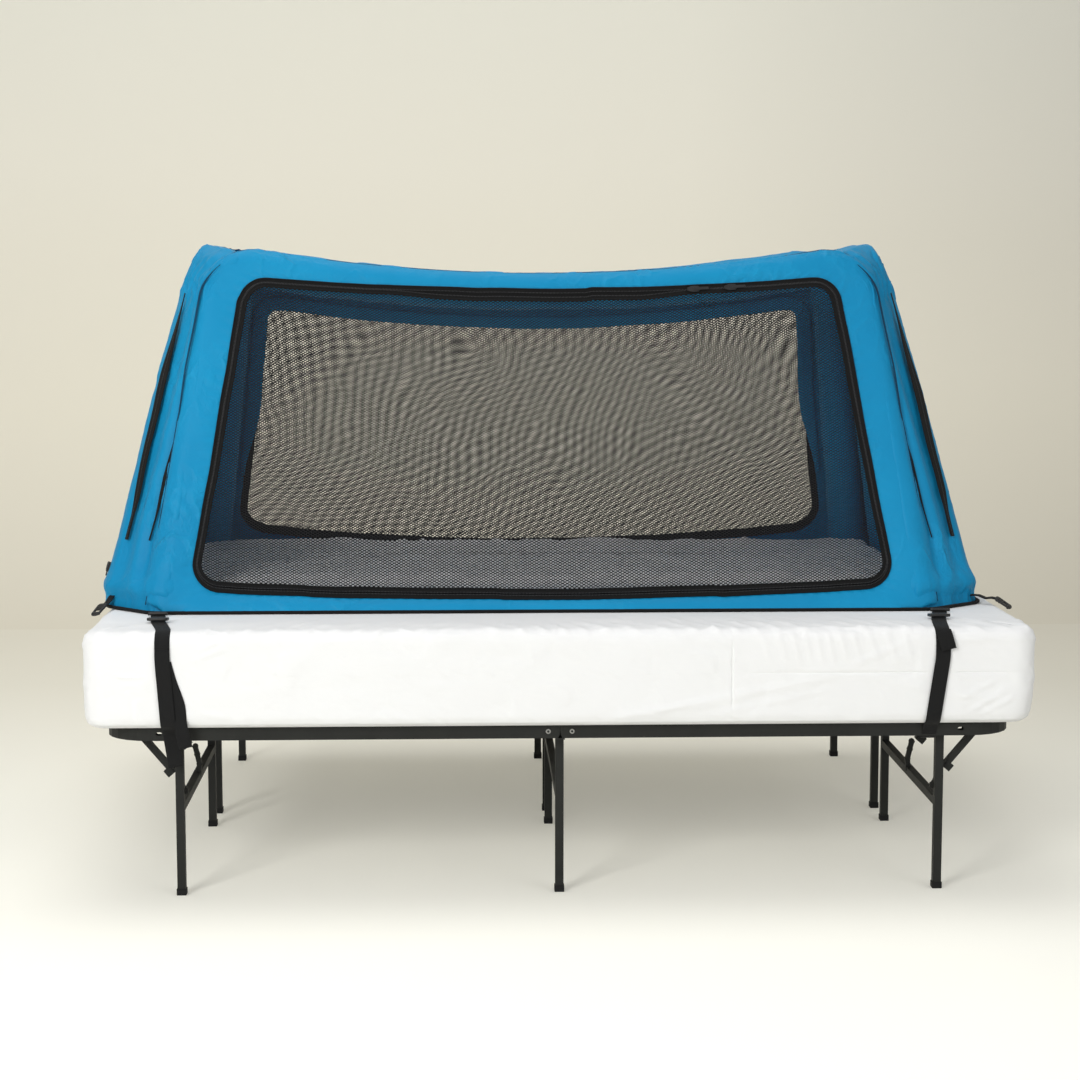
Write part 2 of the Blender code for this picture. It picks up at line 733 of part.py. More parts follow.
def rivet(x, outer, plate_in, row):
    """Rivet along Y with a domed head outside the rail and a rolled rim inside the plate."""
    face = outer + row * GAP
    thick = row * RIVET_HEAD_THICKNESS
    head = [(face + thick, RIVET_DOME), (face, RIVET_HEAD), (face, RIVET_RADIUS)]
    inside = plate_in + thick / 2
    rim = [(inside, RIVET_RADIUS), (inside, RIVET_RIM), (plate_in - thick, RIVET_RIM)]
    return turned(x, HINGE_Z, head + rim, HOLE_SIDES)


def make_unit_clip(end, mat):
    """Saddle clip that holds the inner rails of the two units side by side."""
    x = ENDS[end] * CLIP_X
    inner = (UNIT_SPACING - UNIT_DEPTH) / 2
    outer = inner + RAIL_WIDTH
    sheet = BRACKET_SHEET
    under = RAIL_LOW - GAP
    top = under + CLIP_LIP
    profile = [(-outer - GAP - sheet, top), (-outer - GAP - sheet, under - sheet)]
    profile += [(-y, z) for y, z in reversed(profile)]
    profile += [(outer + GAP, top), (outer + GAP, under), (inner - GAP, under), (inner - GAP, top)]
    profile += [(-inner + GAP, top), (-inner + GAP, under), (-outer - GAP, under), (-outer - GAP, top)]
    outline = [Vector((x - CLIP_LENGTH / 2, y, z)) for y, z in profile]
    bm = solid(add_prism, outline, (CLIP_LENGTH, 0, 0))
    finish(f"unit_clip_{end}", bm, mat, origin=(hinge_x(end), 0, HINGE_Z))


# Mattress


def rounded_box(low, high, corner, edge, corner_steps=4, edge_steps=3):
    """Box with rounded upright corners and rounded top and bottom edges."""
    low, high = Vector(low), Vector(high)
    rings = []
    levels = []
    for k in range(edge_steps + 1):
        angle = math.pi / 2 * k / edge_steps
        levels.append((edge * (1 - math.sin(angle)), low.z + edge * (1 - math.cos(angle))))
    levels += [(inset, low.z + high.z - z) for inset, z in reversed(levels)]
    for inset, z in levels:
        outline = [(low.x + inset, low.y + inset), (high.x - inset, low.y + inset)]
        outline += [(high.x - inset, high.y - inset), (low.x + inset, high.y - inset)]
        flat = fillet(outline, max(corner - inset, SMALLEST_CORNER), corner_steps, closed=True)
        rings.append([Vector((p.x, p.y, z)) for p in flat])
    bm = bmesh.new()
    add_loft(bm, rings)
    return bm


def hinge_hollows(rise):
    """Blocks above the seam of each rail, to be cut from the underside of the mattress."""
    low = MATTRESS_LOW - CUT_PAST
    shapes = []
    for unit in UNITS:
        for row in (-1, 1):
            y = unit_centre(unit) + row * (UNIT_DEPTH - RAIL_WIDTH) / 2
            half_y = RAIL_WIDTH / 2 + HINGE_HOLLOW_MARGIN
            half_x = HINGE_HOLLOW_LENGTH / 2
            shapes.append(
                solid(
                    add_block,
                    (SEAM_X - half_x - rise, y - half_y - rise, low),
                    (SEAM_X + half_x + rise, y + half_y + rise, MATTRESS_LOW + HINGE_HOLLOW_DEPTH + rise),
                )
            )
    return shapes


def make_mattress(cover_mat, core_mat):
    """Foam core in a fitted cover that turns under its lower edge."""
    half_x = MATTRESS_LENGTH / 2
    half_y = MATTRESS_WIDTH / 2
    inset = COVER_SHEET
    outer = mattress_core(0.0)
    hem = COVER_HEM + MATTRESS_EDGE
    mouth = solid(
        add_block,
        (-half_x + hem, -half_y + hem, MATTRESS_LOW - CUT_PAST),
        (half_x - hem, half_y - hem, MATTRESS_LOW + 2 * inset),
    )
    cavity = boolean(mattress_core(inset), [mouth], "UNION")
    cover = boolean(outer, [cavity] + hinge_hollows(0.0), "DIFFERENCE")
    finish("mattress_cover", cover, cover_mat, smooth=40)
    hem += GAP
    plug = solid(
        add_block,
        (-half_x + hem, -half_y + hem, MATTRESS_LOW),
        (half_x - hem, half_y - hem, MATTRESS_LOW + 2 * inset),
    )
    core = boolean(mattress_core(COVER_SHEET + GAP), [plug], "UNION")
    core = boolean(core, hinge_hollows(COVER_SHEET), "DIFFERENCE")
    finish("mattress_core", core, core_mat, smooth=40)


def mattress_core(inset):
    half_x = MATTRESS_LENGTH / 2 - inset
    half_y = MATTRESS_WIDTH / 2 - inset
    return rounded_box(
        (-half_x, -half_y, MATTRESS_LOW + inset),
        (half_x, half_y, MATTRESS_TOP - inset),
        MATTRESS_CORNER - inset,
        MATTRESS_EDGE - inset,
    )


# Enclosure


def arch_outline(base, top, base_z, top_z, sag, radius, beam_steps):
    """Half-turned U in (across, height): a leg, a round corner, a sagging beam, and the same mirrored."""
    corners = fillet([(-base, base_z), (-top, top_z), (0.0, top_z - sag)], radius, ARCH_STEPS)
    left = corners[:-1]
    start = left[-1]
    beam = []
    for k in range(1, beam_steps):
        u = start.x * (1 - k / beam_steps)
        share = u / start.x
        beam.append(Vector((u, top_z - sag + (start.y - top_z + sag) * share * share)))
    half = left + beam
    middle = [Vector((0.0, top_z - sag))]
    return half + middle + [Vector((-p.x, p.y)) for p in reversed(half)]


def side_depth(z):
    """How far the front and back arches stand from the middle at a height."""
    share = (z - FOOT_Z) / (SIDE_TOP_Z - FOOT_Z)
    return SIDE_BASE_Y + (SIDE_TOP_Y - SIDE_BASE_Y) * share


def end_reach(z):
    """How far the end arches stand from the middle at a height, bowed outwards in their upper part."""
    share = (z - FOOT_Z) / (END_TOP_Z - FOOT_Z)
    # The curve s * s * (1 - s) is highest at two thirds, where it is 4 / 27
    bow = END_BOW * share * share * (1 - share) * 27 / 4
    return END_BASE_X + (END_TOP_X - END_BASE_X) * share + bow


def sleeve_radius(z):
    share = min(max((z - FOOT_Z) / (SIDE_TOP_Z - SIDE_SAG - FOOT_Z), 0.0), 1.0)
    return BASE_RADIUS + (TOP_RADIUS - BASE_RADIUS) * share


def subdivide_leg(points, steps):
    """Split the first and last stretch of an outline, so that a tapering leg has rings along it."""
    first = [points[0].lerp(points[1], k / steps) for k in range(steps)]
    last = [points[-2].lerp(points[-1], k / steps) for k in range(1, steps + 1)]
    return first + points[1:-1] + last


def side_outline():
    return arch_outline(SIDE_BASE_X, SIDE_TOP_X, FOOT_Z, SIDE_TOP_Z, SIDE_SAG, ARCH_FILLET, BEAM_STEPS)


def side_arch(facing):
    return [side_plane(p.x, p.y, facing) for p in subdivide_leg(side_outline(), 2)]


def end_arch(facing):
    outline = arch_outline(END_BASE_Y, END_TOP_Y, FOOT_Z, END_TOP_Z, END_SAG, END_FILLET, 1)
    outline = subdivide_leg(outline, 2)
    return [Vector((ENCLOSURE_X + facing * end_reach(p.y), p.x, p.y)) for p in outline]


def make_arch(name, path, sleeve_mat, tube_mat, fittings=()):
    """Fabric sleeve, open at its feet and with any fittings on it, round a closed air tube."""
    radii = [sleeve_radius(p.z) for p in path]
    outer = tube_rings(path, radii, SLEEVE_SIDES, foot_z=FOOT_Z)
    inner = tube_rings(path, [r - SLEEVE_SHEET for r in radii], SLEEVE_SIDES, foot_z=FOOT_Z)
    sleeve = bmesh.new()
    add_shell_loft(sleeve, outer, inner)
    finish(f"{name}_sleeve", boolean(sleeve, fittings, "UNION"), sleeve_mat, smooth=40)
    tube = bmesh.new()
    slack = SLEEVE_SHEET + GAP
    add_loft(tube, tube_rings(path, [r - slack for r in radii], SLEEVE_SIDES, foot_z=FOOT_Z + GAP))
    finish(f"{name}_air_tube", tube, tube_mat, smooth=40)


def side_plane(u, z, facing, proud=0.0):
    """Point on the front or back wall, moved outwards by proud along the wall's normal."""
    return Vector((ENCLOSURE_X + u, facing * side_depth(z), z)) + wall_normal(facing) * proud


def wall_normal(facing):
    slope = (SIDE_BASE_Y - SIDE_TOP_Y) / (SIDE_TOP_Z - FOOT_Z)
    return Vector((0, facing, slope)).normalized()


def opening_outline(facing, inset, lift=0.0, sag_steps=8):
    """Opening of the door (front) or window (back) in (across, height), its top sagging with the beam.

    The part that swings is lifted at its lower edge, so that its thickness clears the wall below.
    """
    if facing < 0:
        sizes = (DOOR_BASE_X, DOOR_TOP_X, DOOR_HIGH, DOOR_SAG, DOOR_CORNER)
    else:
        sizes = (WINDOW_BASE_X, WINDOW_TOP_X, WINDOW_HIGH, WINDOW_SAG, WINDOW_CORNER)
    base_x, top_x, rise, top_sag, corner = sizes
    low = FOOT_Z + DOOR_LOW + inset + lift
    high = FOOT_Z + rise - inset
    base = base_x - inset - lift * (base_x - top_x) / (rise - DOOR_LOW)
    top = top_x - inset
    corners = [Vector((base, low)), Vector((top, high)), Vector((-top, high)), Vector((-base, low))]
    outline = fillet(corners, corner - inset, 5, closed=True)
    reach = max(p.x for p in outline if p.y > high - 1e-6)
    result = []
    for point, after in zip(outline, outline[1:] + outline[:1]):
        result.append(point)
        if point.y > high - 1e-6 and after.y > high - 1e-6 and point.x > 0 > after.x:
            for k in range(1, sag_steps):
                u = reach * (1 - 2 * k / sag_steps)
                result.append(Vector((u, high - top_sag * (1 - (u / reach) ** 2))))
    return result


def loop_rings(inset, facing, width, thickness, proud, lift=0.0):
    """Rectangular rings for a tape that follows an opening's outline, lying flat in the wall."""
    outer = opening_outline(facing, inset, lift)
    inner = opening_outline(facing, inset + width, lift)
    rings = []
    for a, b in zip(outer, inner):
        ring = []
        for point, level in ((a, 1), (b, 1), (b, -1), (a, -1)):
            ring.append(side_plane(point.x, point.y, facing, proud + level * thickness / 2))
        rings.append(ring)
    return rings


def make_opening(kind, facing, mesh_mat, tape_mat, wall_mat):
    """Mesh panel with its half of the zip, inside the half that is sewn to the fabric under it."""
    origin = opening_hinge_point(facing)
    surround = solid(add_loft, loop_rings(0.0, facing, ZIP_WIDTH, ZIP_THICKNESS, DOOR_PROUD), closed=True)
    half = SIDE_BASE_X - BASE_RADIUS / 2
    top = FOOT_Z + DOOR_LOW + WELD
    rings = []
    for u in (-half, half):
        ring = []
        for level, side in ((-1, 1), (1, 1), (1, -1), (-1, -1)):
            proud = DOOR_PROUD + level * SHEET / 2
            z = top if side > 0 else FOOT_Z - proud * wall_normal(facing).z
            ring.append(side_plane(u, z, facing, proud))
        rings.append(ring)
    surround = boolean(surround, [solid(add_loft, rings)], "UNION")
    finish(f"{kind}_surround", surround, wall_mat)
    zip_half = solid(
        add_loft,
        loop_rings(ZIP_WIDTH + GAP, facing, ZIP_WIDTH, ZIP_THICKNESS, DOOR_PROUD, DOOR_LIFT),
        closed=True,
    )
    opens = facing < 0
    reach = 2 * ZIP_WIDTH + 2 * GAP if opens else 2 * ZIP_WIDTH + GAP - WELD
    outline = opening_outline(facing, reach, DOOR_LIFT)
    rings = []
    for level in (-MESH_SHEET / 2, MESH_SHEET / 2):
        rings.append([side_plane(p.x, p.y, facing, DOOR_PROUD + level) for p in outline])
    panel = solid(add_loft, rings)
    if opens:
        finish(f"{kind}_zip", zip_half, tape_mat, origin=origin)
    else:
        panel = boolean(panel, [zip_half], "UNION")
    finish(f"{kind}_mesh", panel, mesh_mat, origin=origin)


def opening_hinge_point(facing):
    """Middle of the lower edge of a door or window, on the outer face of its zip."""
    z = FOOT_Z + DOOR_LOW + ZIP_WIDTH + GAP + DOOR_LIFT
    return side_plane(0.0, z, facing, DOOR_PROUD + ZIP_THICKNESS / 2)


def make_sliders(mat):
    """Two zip sliders on the top run of the door zip, each with a pull tab."""
    high = FOOT_Z + DOOR_HIGH
    reach = DOOR_TOP_X - DOOR_CORNER
    for name, x in SLIDER_XS.items():
        u = x - ENCLOSURE_X
        z = high - DOOR_SAG * (1 - (u / reach) ** 2) - ZIP_WIDTH
        rise = 2 * DOOR_SAG * u / reach**2
        level = DOOR_PROUD + ZIP_THICKNESS / 2 + SLIDER_GAP
        centre = side_plane(u, z, -1, level)
        along = Vector((1, 0, rise)).normalized()
        out = (side_plane(u, z, -1, level + 1) - centre).normalized()
        across = out.cross(along)
        bm = bmesh.new()
        half, wide, tail = SLIDER_LENGTH / 2, SLIDER_WIDTH / 2, SLIDER_TAIL_WIDTH / 2
        outline = [(-half, tail), (-half + SLIDER_SHOULDER, wide), (half - tail, wide), (half, tail)]
        outline += [(a, -b) for a, b in reversed(outline)]
        add_prism(bm, [centre + along * a + across * b for a, b in outline], out * SLIDER_HEIGHT)
        lift = centre + out * (SLIDER_HEIGHT - WELD)
        thin = PULL_WIDTH / 2
        tab = [(0.0, thin), (PULL_LENGTH - thin, thin), (PULL_LENGTH, 0.0), (PULL_LENGTH - thin, -thin)]
        tab.append((0.0, -thin))
        pull = solid(add_prism, [lift + along * a + across * b for a, b in tab], out * PULL_SHEET)
        finish(f"door_slider_{name}", boolean(bm, [pull], "UNION"), mat, origin=centre)


def base_outline(margin, z, steps=3):
    """Line at a margin outside the feet of all arches: arcs round the feet, joined by straight runs."""
    corner = [(SIDE_BASE_X, SIDE_BASE_Y), (END_BASE_X, END_BASE_Y)]
    feet = [(x, -y) for x, y in corner]
    feet += [(x, y) for x, y in reversed(corner)]
    feet += [(-x, -y) for x, y in feet]
    feet = [Vector(p) for p in feet]
    radius = BASE_RADIUS + margin
    outline = []
    for i, foot in enumerate(feet):
        ahead = feet[(i + 1) % len(feet)] - foot
        behind = foot - feet[i - 1]
        first = Vector((behind.y, -behind.x)).normalized()
        turn = behind.angle(ahead)
        for k in range(steps + 1):
            offset = Matrix.Rotation(turn * k / steps, 2) @ first
            point = foot + offset * radius
            outline.append(Vector((ENCLOSURE_X + point.x, point.y, z)))
    return outline


def make_base(panel_mat, binding_mat):
    """Floor sheet, and the corded binding round its edge with a webbing tab at each corner."""
    floor = bmesh.new()
    edge = BASE_MARGIN - BINDING_RADIUS - GAP
    add_prism(floor, base_outline(edge, MATTRESS_TOP + GAP), (0, 0, SHEET))
    finish("floor_sheet", floor, panel_mat)
    path = base_outline(BASE_MARGIN, MATTRESS_TOP + GAP + BINDING_RADIUS)
    count = len(path)
    rings = []
    for i, point in enumerate(path):
        tangent = (path[(i + 1) % count] - path[i - 1]).normalized()
        side = tangent.cross(Vector((0, 0, 1)))
        ring = []
        for k in range(6):
            angle = math.pi * (2 * k + 1) / 6
            offset = side * math.cos(angle) + Vector((0, 0, 1)) * math.sin(angle)
            ring.append(point + offset * BINDING_RADIUS)
        rings.append(ring)
    low = MATTRESS_TOP + GAP + WEB_SHEET / 2
    tabs = []
    for side in (-1, 1):
        for facing in (-1, 1):
            xs = sorted((ENCLOSURE_X + side * tab_root(), side * TAB_REACH))
            ys = sorted((facing * (TAB_Y - TAB_WIDTH / 2), facing * (TAB_Y + TAB_WIDTH / 2)))
            tabs.append(solid(add_block, (xs[0], ys[0], low), (xs[1], ys[1], low + WEB_SHEET)))
    binding = boolean(solid(add_loft, rings, closed=True), tabs, "UNION")
    finish("base_binding", binding, binding_mat)


def tab_root():
    """Where the corner tabs start, inside the binding's cord on the slanting run between two feet."""
    side = Vector((SIDE_BASE_X, SIDE_BASE_Y))
    end = Vector((END_BASE_X, END_BASE_Y))
    run = end - side
    normal = Vector((-run.y, run.x)).normalized()
    offset = side + normal * (BASE_RADIUS + BASE_MARGIN)
    share = (TAB_Y - TAB_WIDTH / 2 - offset.y) / run.y
    return offset.x + run.x * share


def make_panels(mat, mesh_mat):
    """End walls and the mesh roof."""
    for name, facing in (("left", -1), ("right", 1)):
        low = FOOT_Z
        high = END_TOP_Z - END_SAG - TOP_RADIUS - PANEL_GAP
        rings = []
        for z in (low, high):
            half = end_half_width(z) - sleeve_radius(z) - PANEL_GAP
            x = ENCLOSURE_X + facing * end_reach(z)
            corners = ((-1, -1), (1, -1), (1, 1), (-1, 1))
            rings.append([Vector((x + facing * u * SHEET / 2, half * v, z)) for u, v in corners])
        bm = bmesh.new()
        add_loft(bm, rings)
        finish(f"end_wall_{name}", bm, mat)
    roof = bmesh.new()
    beam = side_outline()[ARCH_STEPS + 1 : -ARCH_STEPS - 1]
    reach = END_TOP_X - TOP_RADIUS - PANEL_GAP
    stations = [Vector((-reach, beam[0].y))] + beam + [Vector((reach, beam[-1].y))]
    inner = TOP_RADIUS * math.cos(math.pi / SLEEVE_SIDES) + GAP
    rings = []
    for u, z in stations:
        half = side_depth(z) - inner
        corners = ((-half, -1), (half, -1), (half, 1), (-half, 1))
        rings.append([Vector((ENCLOSURE_X + u, y, z + level * MESH_SHEET / 2)) for y, level in corners])
    add_loft(roof, rings)
    finish("roof_mesh", roof, mesh_mat)


def end_half_width(z):
    share = (z - FOOT_Z) / (END_TOP_Z - FOOT_Z)
    return END_BASE_Y + (END_TOP_Y - END_BASE_Y) * share


def make_pad(mat):
    low = FLOOR_TOP + GAP
    bm = rounded_box(
        (ENCLOSURE_X - PAD_HALF_LENGTH, -PAD_HALF_WIDTH, low),
        (ENCLOSURE_X + PAD_HALF_LENGTH, PAD_HALF_WIDTH, low + PAD_HEIGHT),
        PAD_CORNER,
        PAD_EDGE,
    )
    finish("inner_mattress", bm, mat, smooth=40)


# Straps and fittings


def add_web(bm, x, profile, width, thickness):
    """Webbing of one width along X, following a path of (y, z) points."""
    points = [Vector((x, y, z)) for y, z in profile]
    along_x = Vector((1, 0, 0))
    rings = []
    for i, point in enumerate(points):
        ahead = (points[min(i + 1, len(points) - 1)] - points[max(i - 1, 0)]).normalized()
        rise = ahead.cross(along_x) * (thickness / 2)
        side = along_x * (width / 2)
        rings.append([point + side + rise, point - side + rise, point - side - rise, point + side - rise])
    add_loft(bm, rings)


def make_straps(web_mat, buckle_mat):
    """Hold-down straps: a top length on the mattress with its buckle, and a lower length at the rail."""
    rest = MATTRESS_TOP + GAP + WEB_SHEET / 2
    hang = MATTRESS_WIDTH / 2 + GAP + WEB_SHEET / 2 + STRAP_STAND_OFF
    sewn = SIDE_BASE_Y + BASE_RADIUS + BASE_MARGIN + BINDING_RADIUS + GAP
    bend = MATTRESS_EDGE + STRAP_STAND_OFF
    split = MATTRESS_TOP - STRAP_SPLIT_DROP
    corner = fillet([(0.0, rest), (hang, rest), (hang, 0.0)], bend, 5)[1:-1]
    top = [(sewn, rest)] + [(p.x, p.y) for p in corner] + [(hang, split + GAP)]
    rail_front = (UNIT_SPACING + UNIT_DEPTH) / 2 + GAP + WEB_SHEET / 2
    under = RAIL_LOW - STRAP_LOOP_DROP
    fall = [(hang, split), (hang, MATTRESS_LOW + STRAP_FALL_RISE)]
    fall.append((rail_front, RAIL_TOP - STRAP_RAIL_DROP))
    tail = fall + [(rail_front, STRAP_TAIL_Z)]
    turn = (rail_front - STRAP_LOOP_TURN, under)
    loop = fall + [(rail_front, RAIL_LOW), turn, (rail_front - STRAP_LOOP_REACH, under)]
    for end in ENDS:
        lower = tail if end == "left" else loop
        x = STRAP_LEFT_X if end == "left" else STRAP_RIGHT_X
        for name, facing in (("front", -1), ("back", 1)):
            bm = bmesh.new()
            add_web(bm, x, [(facing * y, z) for y, z in top], WEB_WIDTH, WEB_SHEET)
            finish(f"strap_top_{name}_{end}", bm, web_mat)
            bm = bmesh.new()
            add_web(bm, x, [(facing * y, z) for y, z in lower], WEB_WIDTH, WEB_SHEET)
            finish(f"strap_{name}_{end}", bm, web_mat, origin=(hinge_x(end), 0, HINGE_Z))
            make_buckle(f"strap_buckle_{name}_{end}", x, facing * BUCKLE_Y, buckle_mat)


def make_buckle(name, x, y, mat):
    """Ladder-lock buckle lying on a strap: a frame with two slots."""
    low = MATTRESS_TOP + 2 * GAP + WEB_SHEET
    half_x = WEB_WIDTH / 2 + BUCKLE_RIM
    half_y = BUCKLE_LENGTH / 2
    frame = solid(add_block, (x - half_x, y - half_y, low), (x + half_x, y + half_y, low + BUCKLE_HEIGHT))
    slots = []
    for side in (-1, 1):
        ys = sorted((y + side * BUCKLE_BAR / 2, y + side * (BUCKLE_BAR / 2 + BUCKLE_SLOT)))
        slots.append(
            solid(
                add_block,
                (x - WEB_WIDTH / 2, ys[0], low - CUT_PAST),
                (x + WEB_WIDTH / 2, ys[1], low + BUCKLE_HEIGHT + CUT_PAST),
            )
        )
    finish(name, boolean(frame, slots, "DIFFERENCE"), mat)


def valve_place():
    """Seat of the valve on the outside of the left arch's front leg, and the direction it faces."""
    z = FOOT_Z + VALVE_HEIGHT
    lean = (END_BASE_X - END_TOP_X) / (END_TOP_Z - FOOT_Z)
    out = Vector((-1, 0, lean)).normalized()
    axis = Vector((ENCLOSURE_X - end_reach(z), -end_half_width(z), z))
    return axis + out * (sleeve_radius(z) - SLEEVE_SHEET / 2), out


def valve_body():
    place, out = valve_place()
    return solid(add_rod, place, place + out * VALVE_DEPTH, VALVE_RADIUS, end_radius=VALVE_TOP_RADIUS)


def make_valve_cap(mat):
    """Cap with a pull tab, hinged at its upper edge."""
    place, out = valve_place()
    lid = place + out * (VALVE_DEPTH + GAP)
    down = (out * out.z - Vector((0, 0, 1))).normalized()
    side = Vector((0, VALVE_TAB / 2, 0))
    near = lid + down * VALVE_RADIUS / 2 + out * (VALVE_CAP - VALVE_TAB_SHEET) / 2
    far = near + down * (VALVE_RADIUS / 2 + VALVE_TAB)
    tab = solid(add_prism, [near + side, near - side, far - side, far + side], out * VALVE_TAB_SHEET)
    cap = solid(add_rod, lid, lid + out * VALVE_CAP, VALVE_CAP_RADIUS)
    finish("valve_cap", boolean(cap, [tab], "UNION"), mat, origin=lid - down * VALVE_RADIUS, smooth=40)


def build():
    clear_scene()
    steel = material("black_steel", (0.028, 0.030, 0.027), 0.42, 0.5)
    plastic = material("black_plastic", (0.020, 0.020, 0.020), 0.45)
    cotton = material("white_cover", (0.86, 0.86, 0.84), 0.85)
    foam = material("foam", (0.80, 0.78, 0.70), 0.90)
    nylon = material("blue_nylon", (0.018, 0.230, 0.520), 0.55)
    bladder = material("air_tube_film", (0.55, 0.58, 0.60), 0.35)
    netting = material("black_netting", (0.030, 0.032, 0.036), 0.80)
    tape = material("zip_tape", (0.016, 0.015, 0.015), 0.60)
    webbing = material("black_webbing", (0.018, 0.018, 0.017), 0.75)
    pad = material("white_pad", (0.80, 0.80, 0.78), 0.80)

    for end in ENDS:
        for unit in UNITS:
            make_deck_frame(unit, end, steel)
            make_end_legs(unit, end, steel)
            for name, offset in brace_offsets(unit).items():
                make_brace(unit, end, name, offset, steel)
        make_unit_clip(end, plastic)
    for unit in UNITS:
        make_middle_legs(unit, steel)
    make_mattress(cotton, foam)

    for name, facing in (("front", -1), ("back", 1)):
        make_arch(name, side_arch(facing), nylon, bladder)
    for name, facing in (("left", -1), ("right", 1)):
        fittings = [valve_body()] if name == "left" else []
        make_arch(name, end_arch(facing), nylon, bladder, fittings)
    make_opening("door", -1, netting, tape, nylon)
    make_opening("window", 1, netting, tape, nylon)
    make_sliders(plastic)
    make_base(nylon, webbing)
    make_panels(nylon, netting)
    make_pad(pad)
    make_straps(webbing, plastic)
    make_valve_cap(plastic)


build()
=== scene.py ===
"""Looks of the inflatable travel bed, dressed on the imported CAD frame.

Metres, +Z up, +X along the bed, -Y towards the camera. The steel platform keeps its CAD nodes with new
finishes. Fabric, netting, webbing, zips and both mattresses are modelled here at the CAD's places.
"""

import math

import bmesh
import bpy
import numpy as np
from mathutils import Matrix, Vector


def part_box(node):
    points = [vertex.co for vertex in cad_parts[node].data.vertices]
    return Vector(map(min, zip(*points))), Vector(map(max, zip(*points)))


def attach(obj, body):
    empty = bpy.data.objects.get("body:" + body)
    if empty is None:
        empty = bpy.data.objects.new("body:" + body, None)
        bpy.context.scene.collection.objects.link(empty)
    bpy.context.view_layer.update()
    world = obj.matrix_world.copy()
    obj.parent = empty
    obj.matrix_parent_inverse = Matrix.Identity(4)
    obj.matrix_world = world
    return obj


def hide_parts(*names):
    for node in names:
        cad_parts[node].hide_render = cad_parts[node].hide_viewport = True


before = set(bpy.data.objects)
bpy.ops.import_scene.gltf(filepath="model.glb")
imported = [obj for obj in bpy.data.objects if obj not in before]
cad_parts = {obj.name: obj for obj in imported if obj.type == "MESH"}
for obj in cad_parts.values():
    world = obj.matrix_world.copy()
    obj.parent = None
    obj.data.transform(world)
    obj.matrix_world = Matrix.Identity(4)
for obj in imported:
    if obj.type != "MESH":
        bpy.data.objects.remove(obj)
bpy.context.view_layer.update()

# A full turn in radians
TURN = 2 * math.pi

# Camera fitted to the photograph
CAMERA_PLACE = (-0.2149, -5.4868, 1.3284)
CAMERA_YAW = 0.0351
CAMERA_PITCH = 0.1161
CAMERA_LENS = 75.56

# Directions of the two sides along Y and of the two ends along X
FACINGS = ((-1, "front"), (1, "back"))
ENDS = ((-1, "left"), (1, "right"))

# Platform and mattress, as in the CAD
UNIT_ROWS = (-0.726, -0.026, 0.026, 0.726)
FOOT_HEIGHT = 0.0142
RIVET_SEAMS = (-0.0300, 0.0210)
RIVET_Z = 0.361
RIVET_HEAD = 0.0062
RIVET_HOLE = 0.0027
RIVET_PROUD = 0.0016
SEAM_X = -0.0045
MATTRESS_LOW = 0.3763
MATTRESS_TOP = 0.5843
MATTRESS_HALF = (1.015, 0.762)
MATTRESS_CORNER = 0.050
BRACKET_ROWS = (0.716, 0.036)
BRACKET_LIFT = 0.017
SEAM_FRONT_X = 0.36
SEAM_Z = 0.490

# Enclosure, as in the CAD
MIDDLE_X = -0.030
FOOT_Z = 0.5869
BASE_RADIUS = 0.051
TOP_RADIUS = 0.042
SIDE_BASE = (0.845, 0.450)
SIDE_TOP = (0.735, 0.205)
SIDE_TOP_Z = 1.352
SIDE_SAG = 0.060
END_BASE = (0.944, 0.372)
END_TOP = (0.765, 0.118)
END_TOP_Z = 1.358
END_SAG = 0.004
END_BOW = 0.010
SIDE_CORNER = 0.085
END_CORNER = 0.060
FLOOR_Z = 0.5856
PAD_LOW = 0.5869
PAD_HALF = (0.868, 0.370)
PAD_HEIGHT = 0.070
BINDING_MARGIN = 0.0085
BINDING_Z = 0.5886
BINDING_RADIUS = 0.004

# Door (-1) and window (1) as in the CAD, but with the lower edge's place and belly of the photograph
OPENING_LOW = 0.011
OPENINGS = {
    -1: {"base": 0.792, "top": 0.682, "rise": 0.722, "sag": 0.024, "corner": 0.060, "belly": 0.021},
    1: {"base": 0.772, "top": 0.694, "rise": 0.668, "sag": 0.050, "corner": 0.070, "belly": 0.050},
}
OPENING_PROUD = 0.046
OPENING_LIFT = 0.0029
DOOR_DIP = 0.008
ZIP_WIDTH = 0.010
ZIP_THICKNESS = 0.0016
BACKING_WIDTH = 0.0185
TOOTH_SPACING = 0.0032
ZIP_TOOTH = (0.0019, 0.0034, 0.0018)
CORNER_TOOTH = (0.0019, 0.0032, 0.0030)

# Tape, zip and a stripe of painted shade in the crease on each corner, as (height, place across its two
# beams)
OUTER_STRIPE = ((0.716, 0.86), (1.044, 0.75), (1.262, 0.60))
INNER_STRIPE = ((0.722, 0.30), (0.90, 0.12), (0.94, 0.08))
CREASE_STRIPE = ((0.90, 0.12), (1.02, -0.02), (1.16, -0.22), (1.325, -0.50))
STRIPE_WIDTHS = {-1: (0.020, 0.0090), 1: (0.026, 0.0050)}

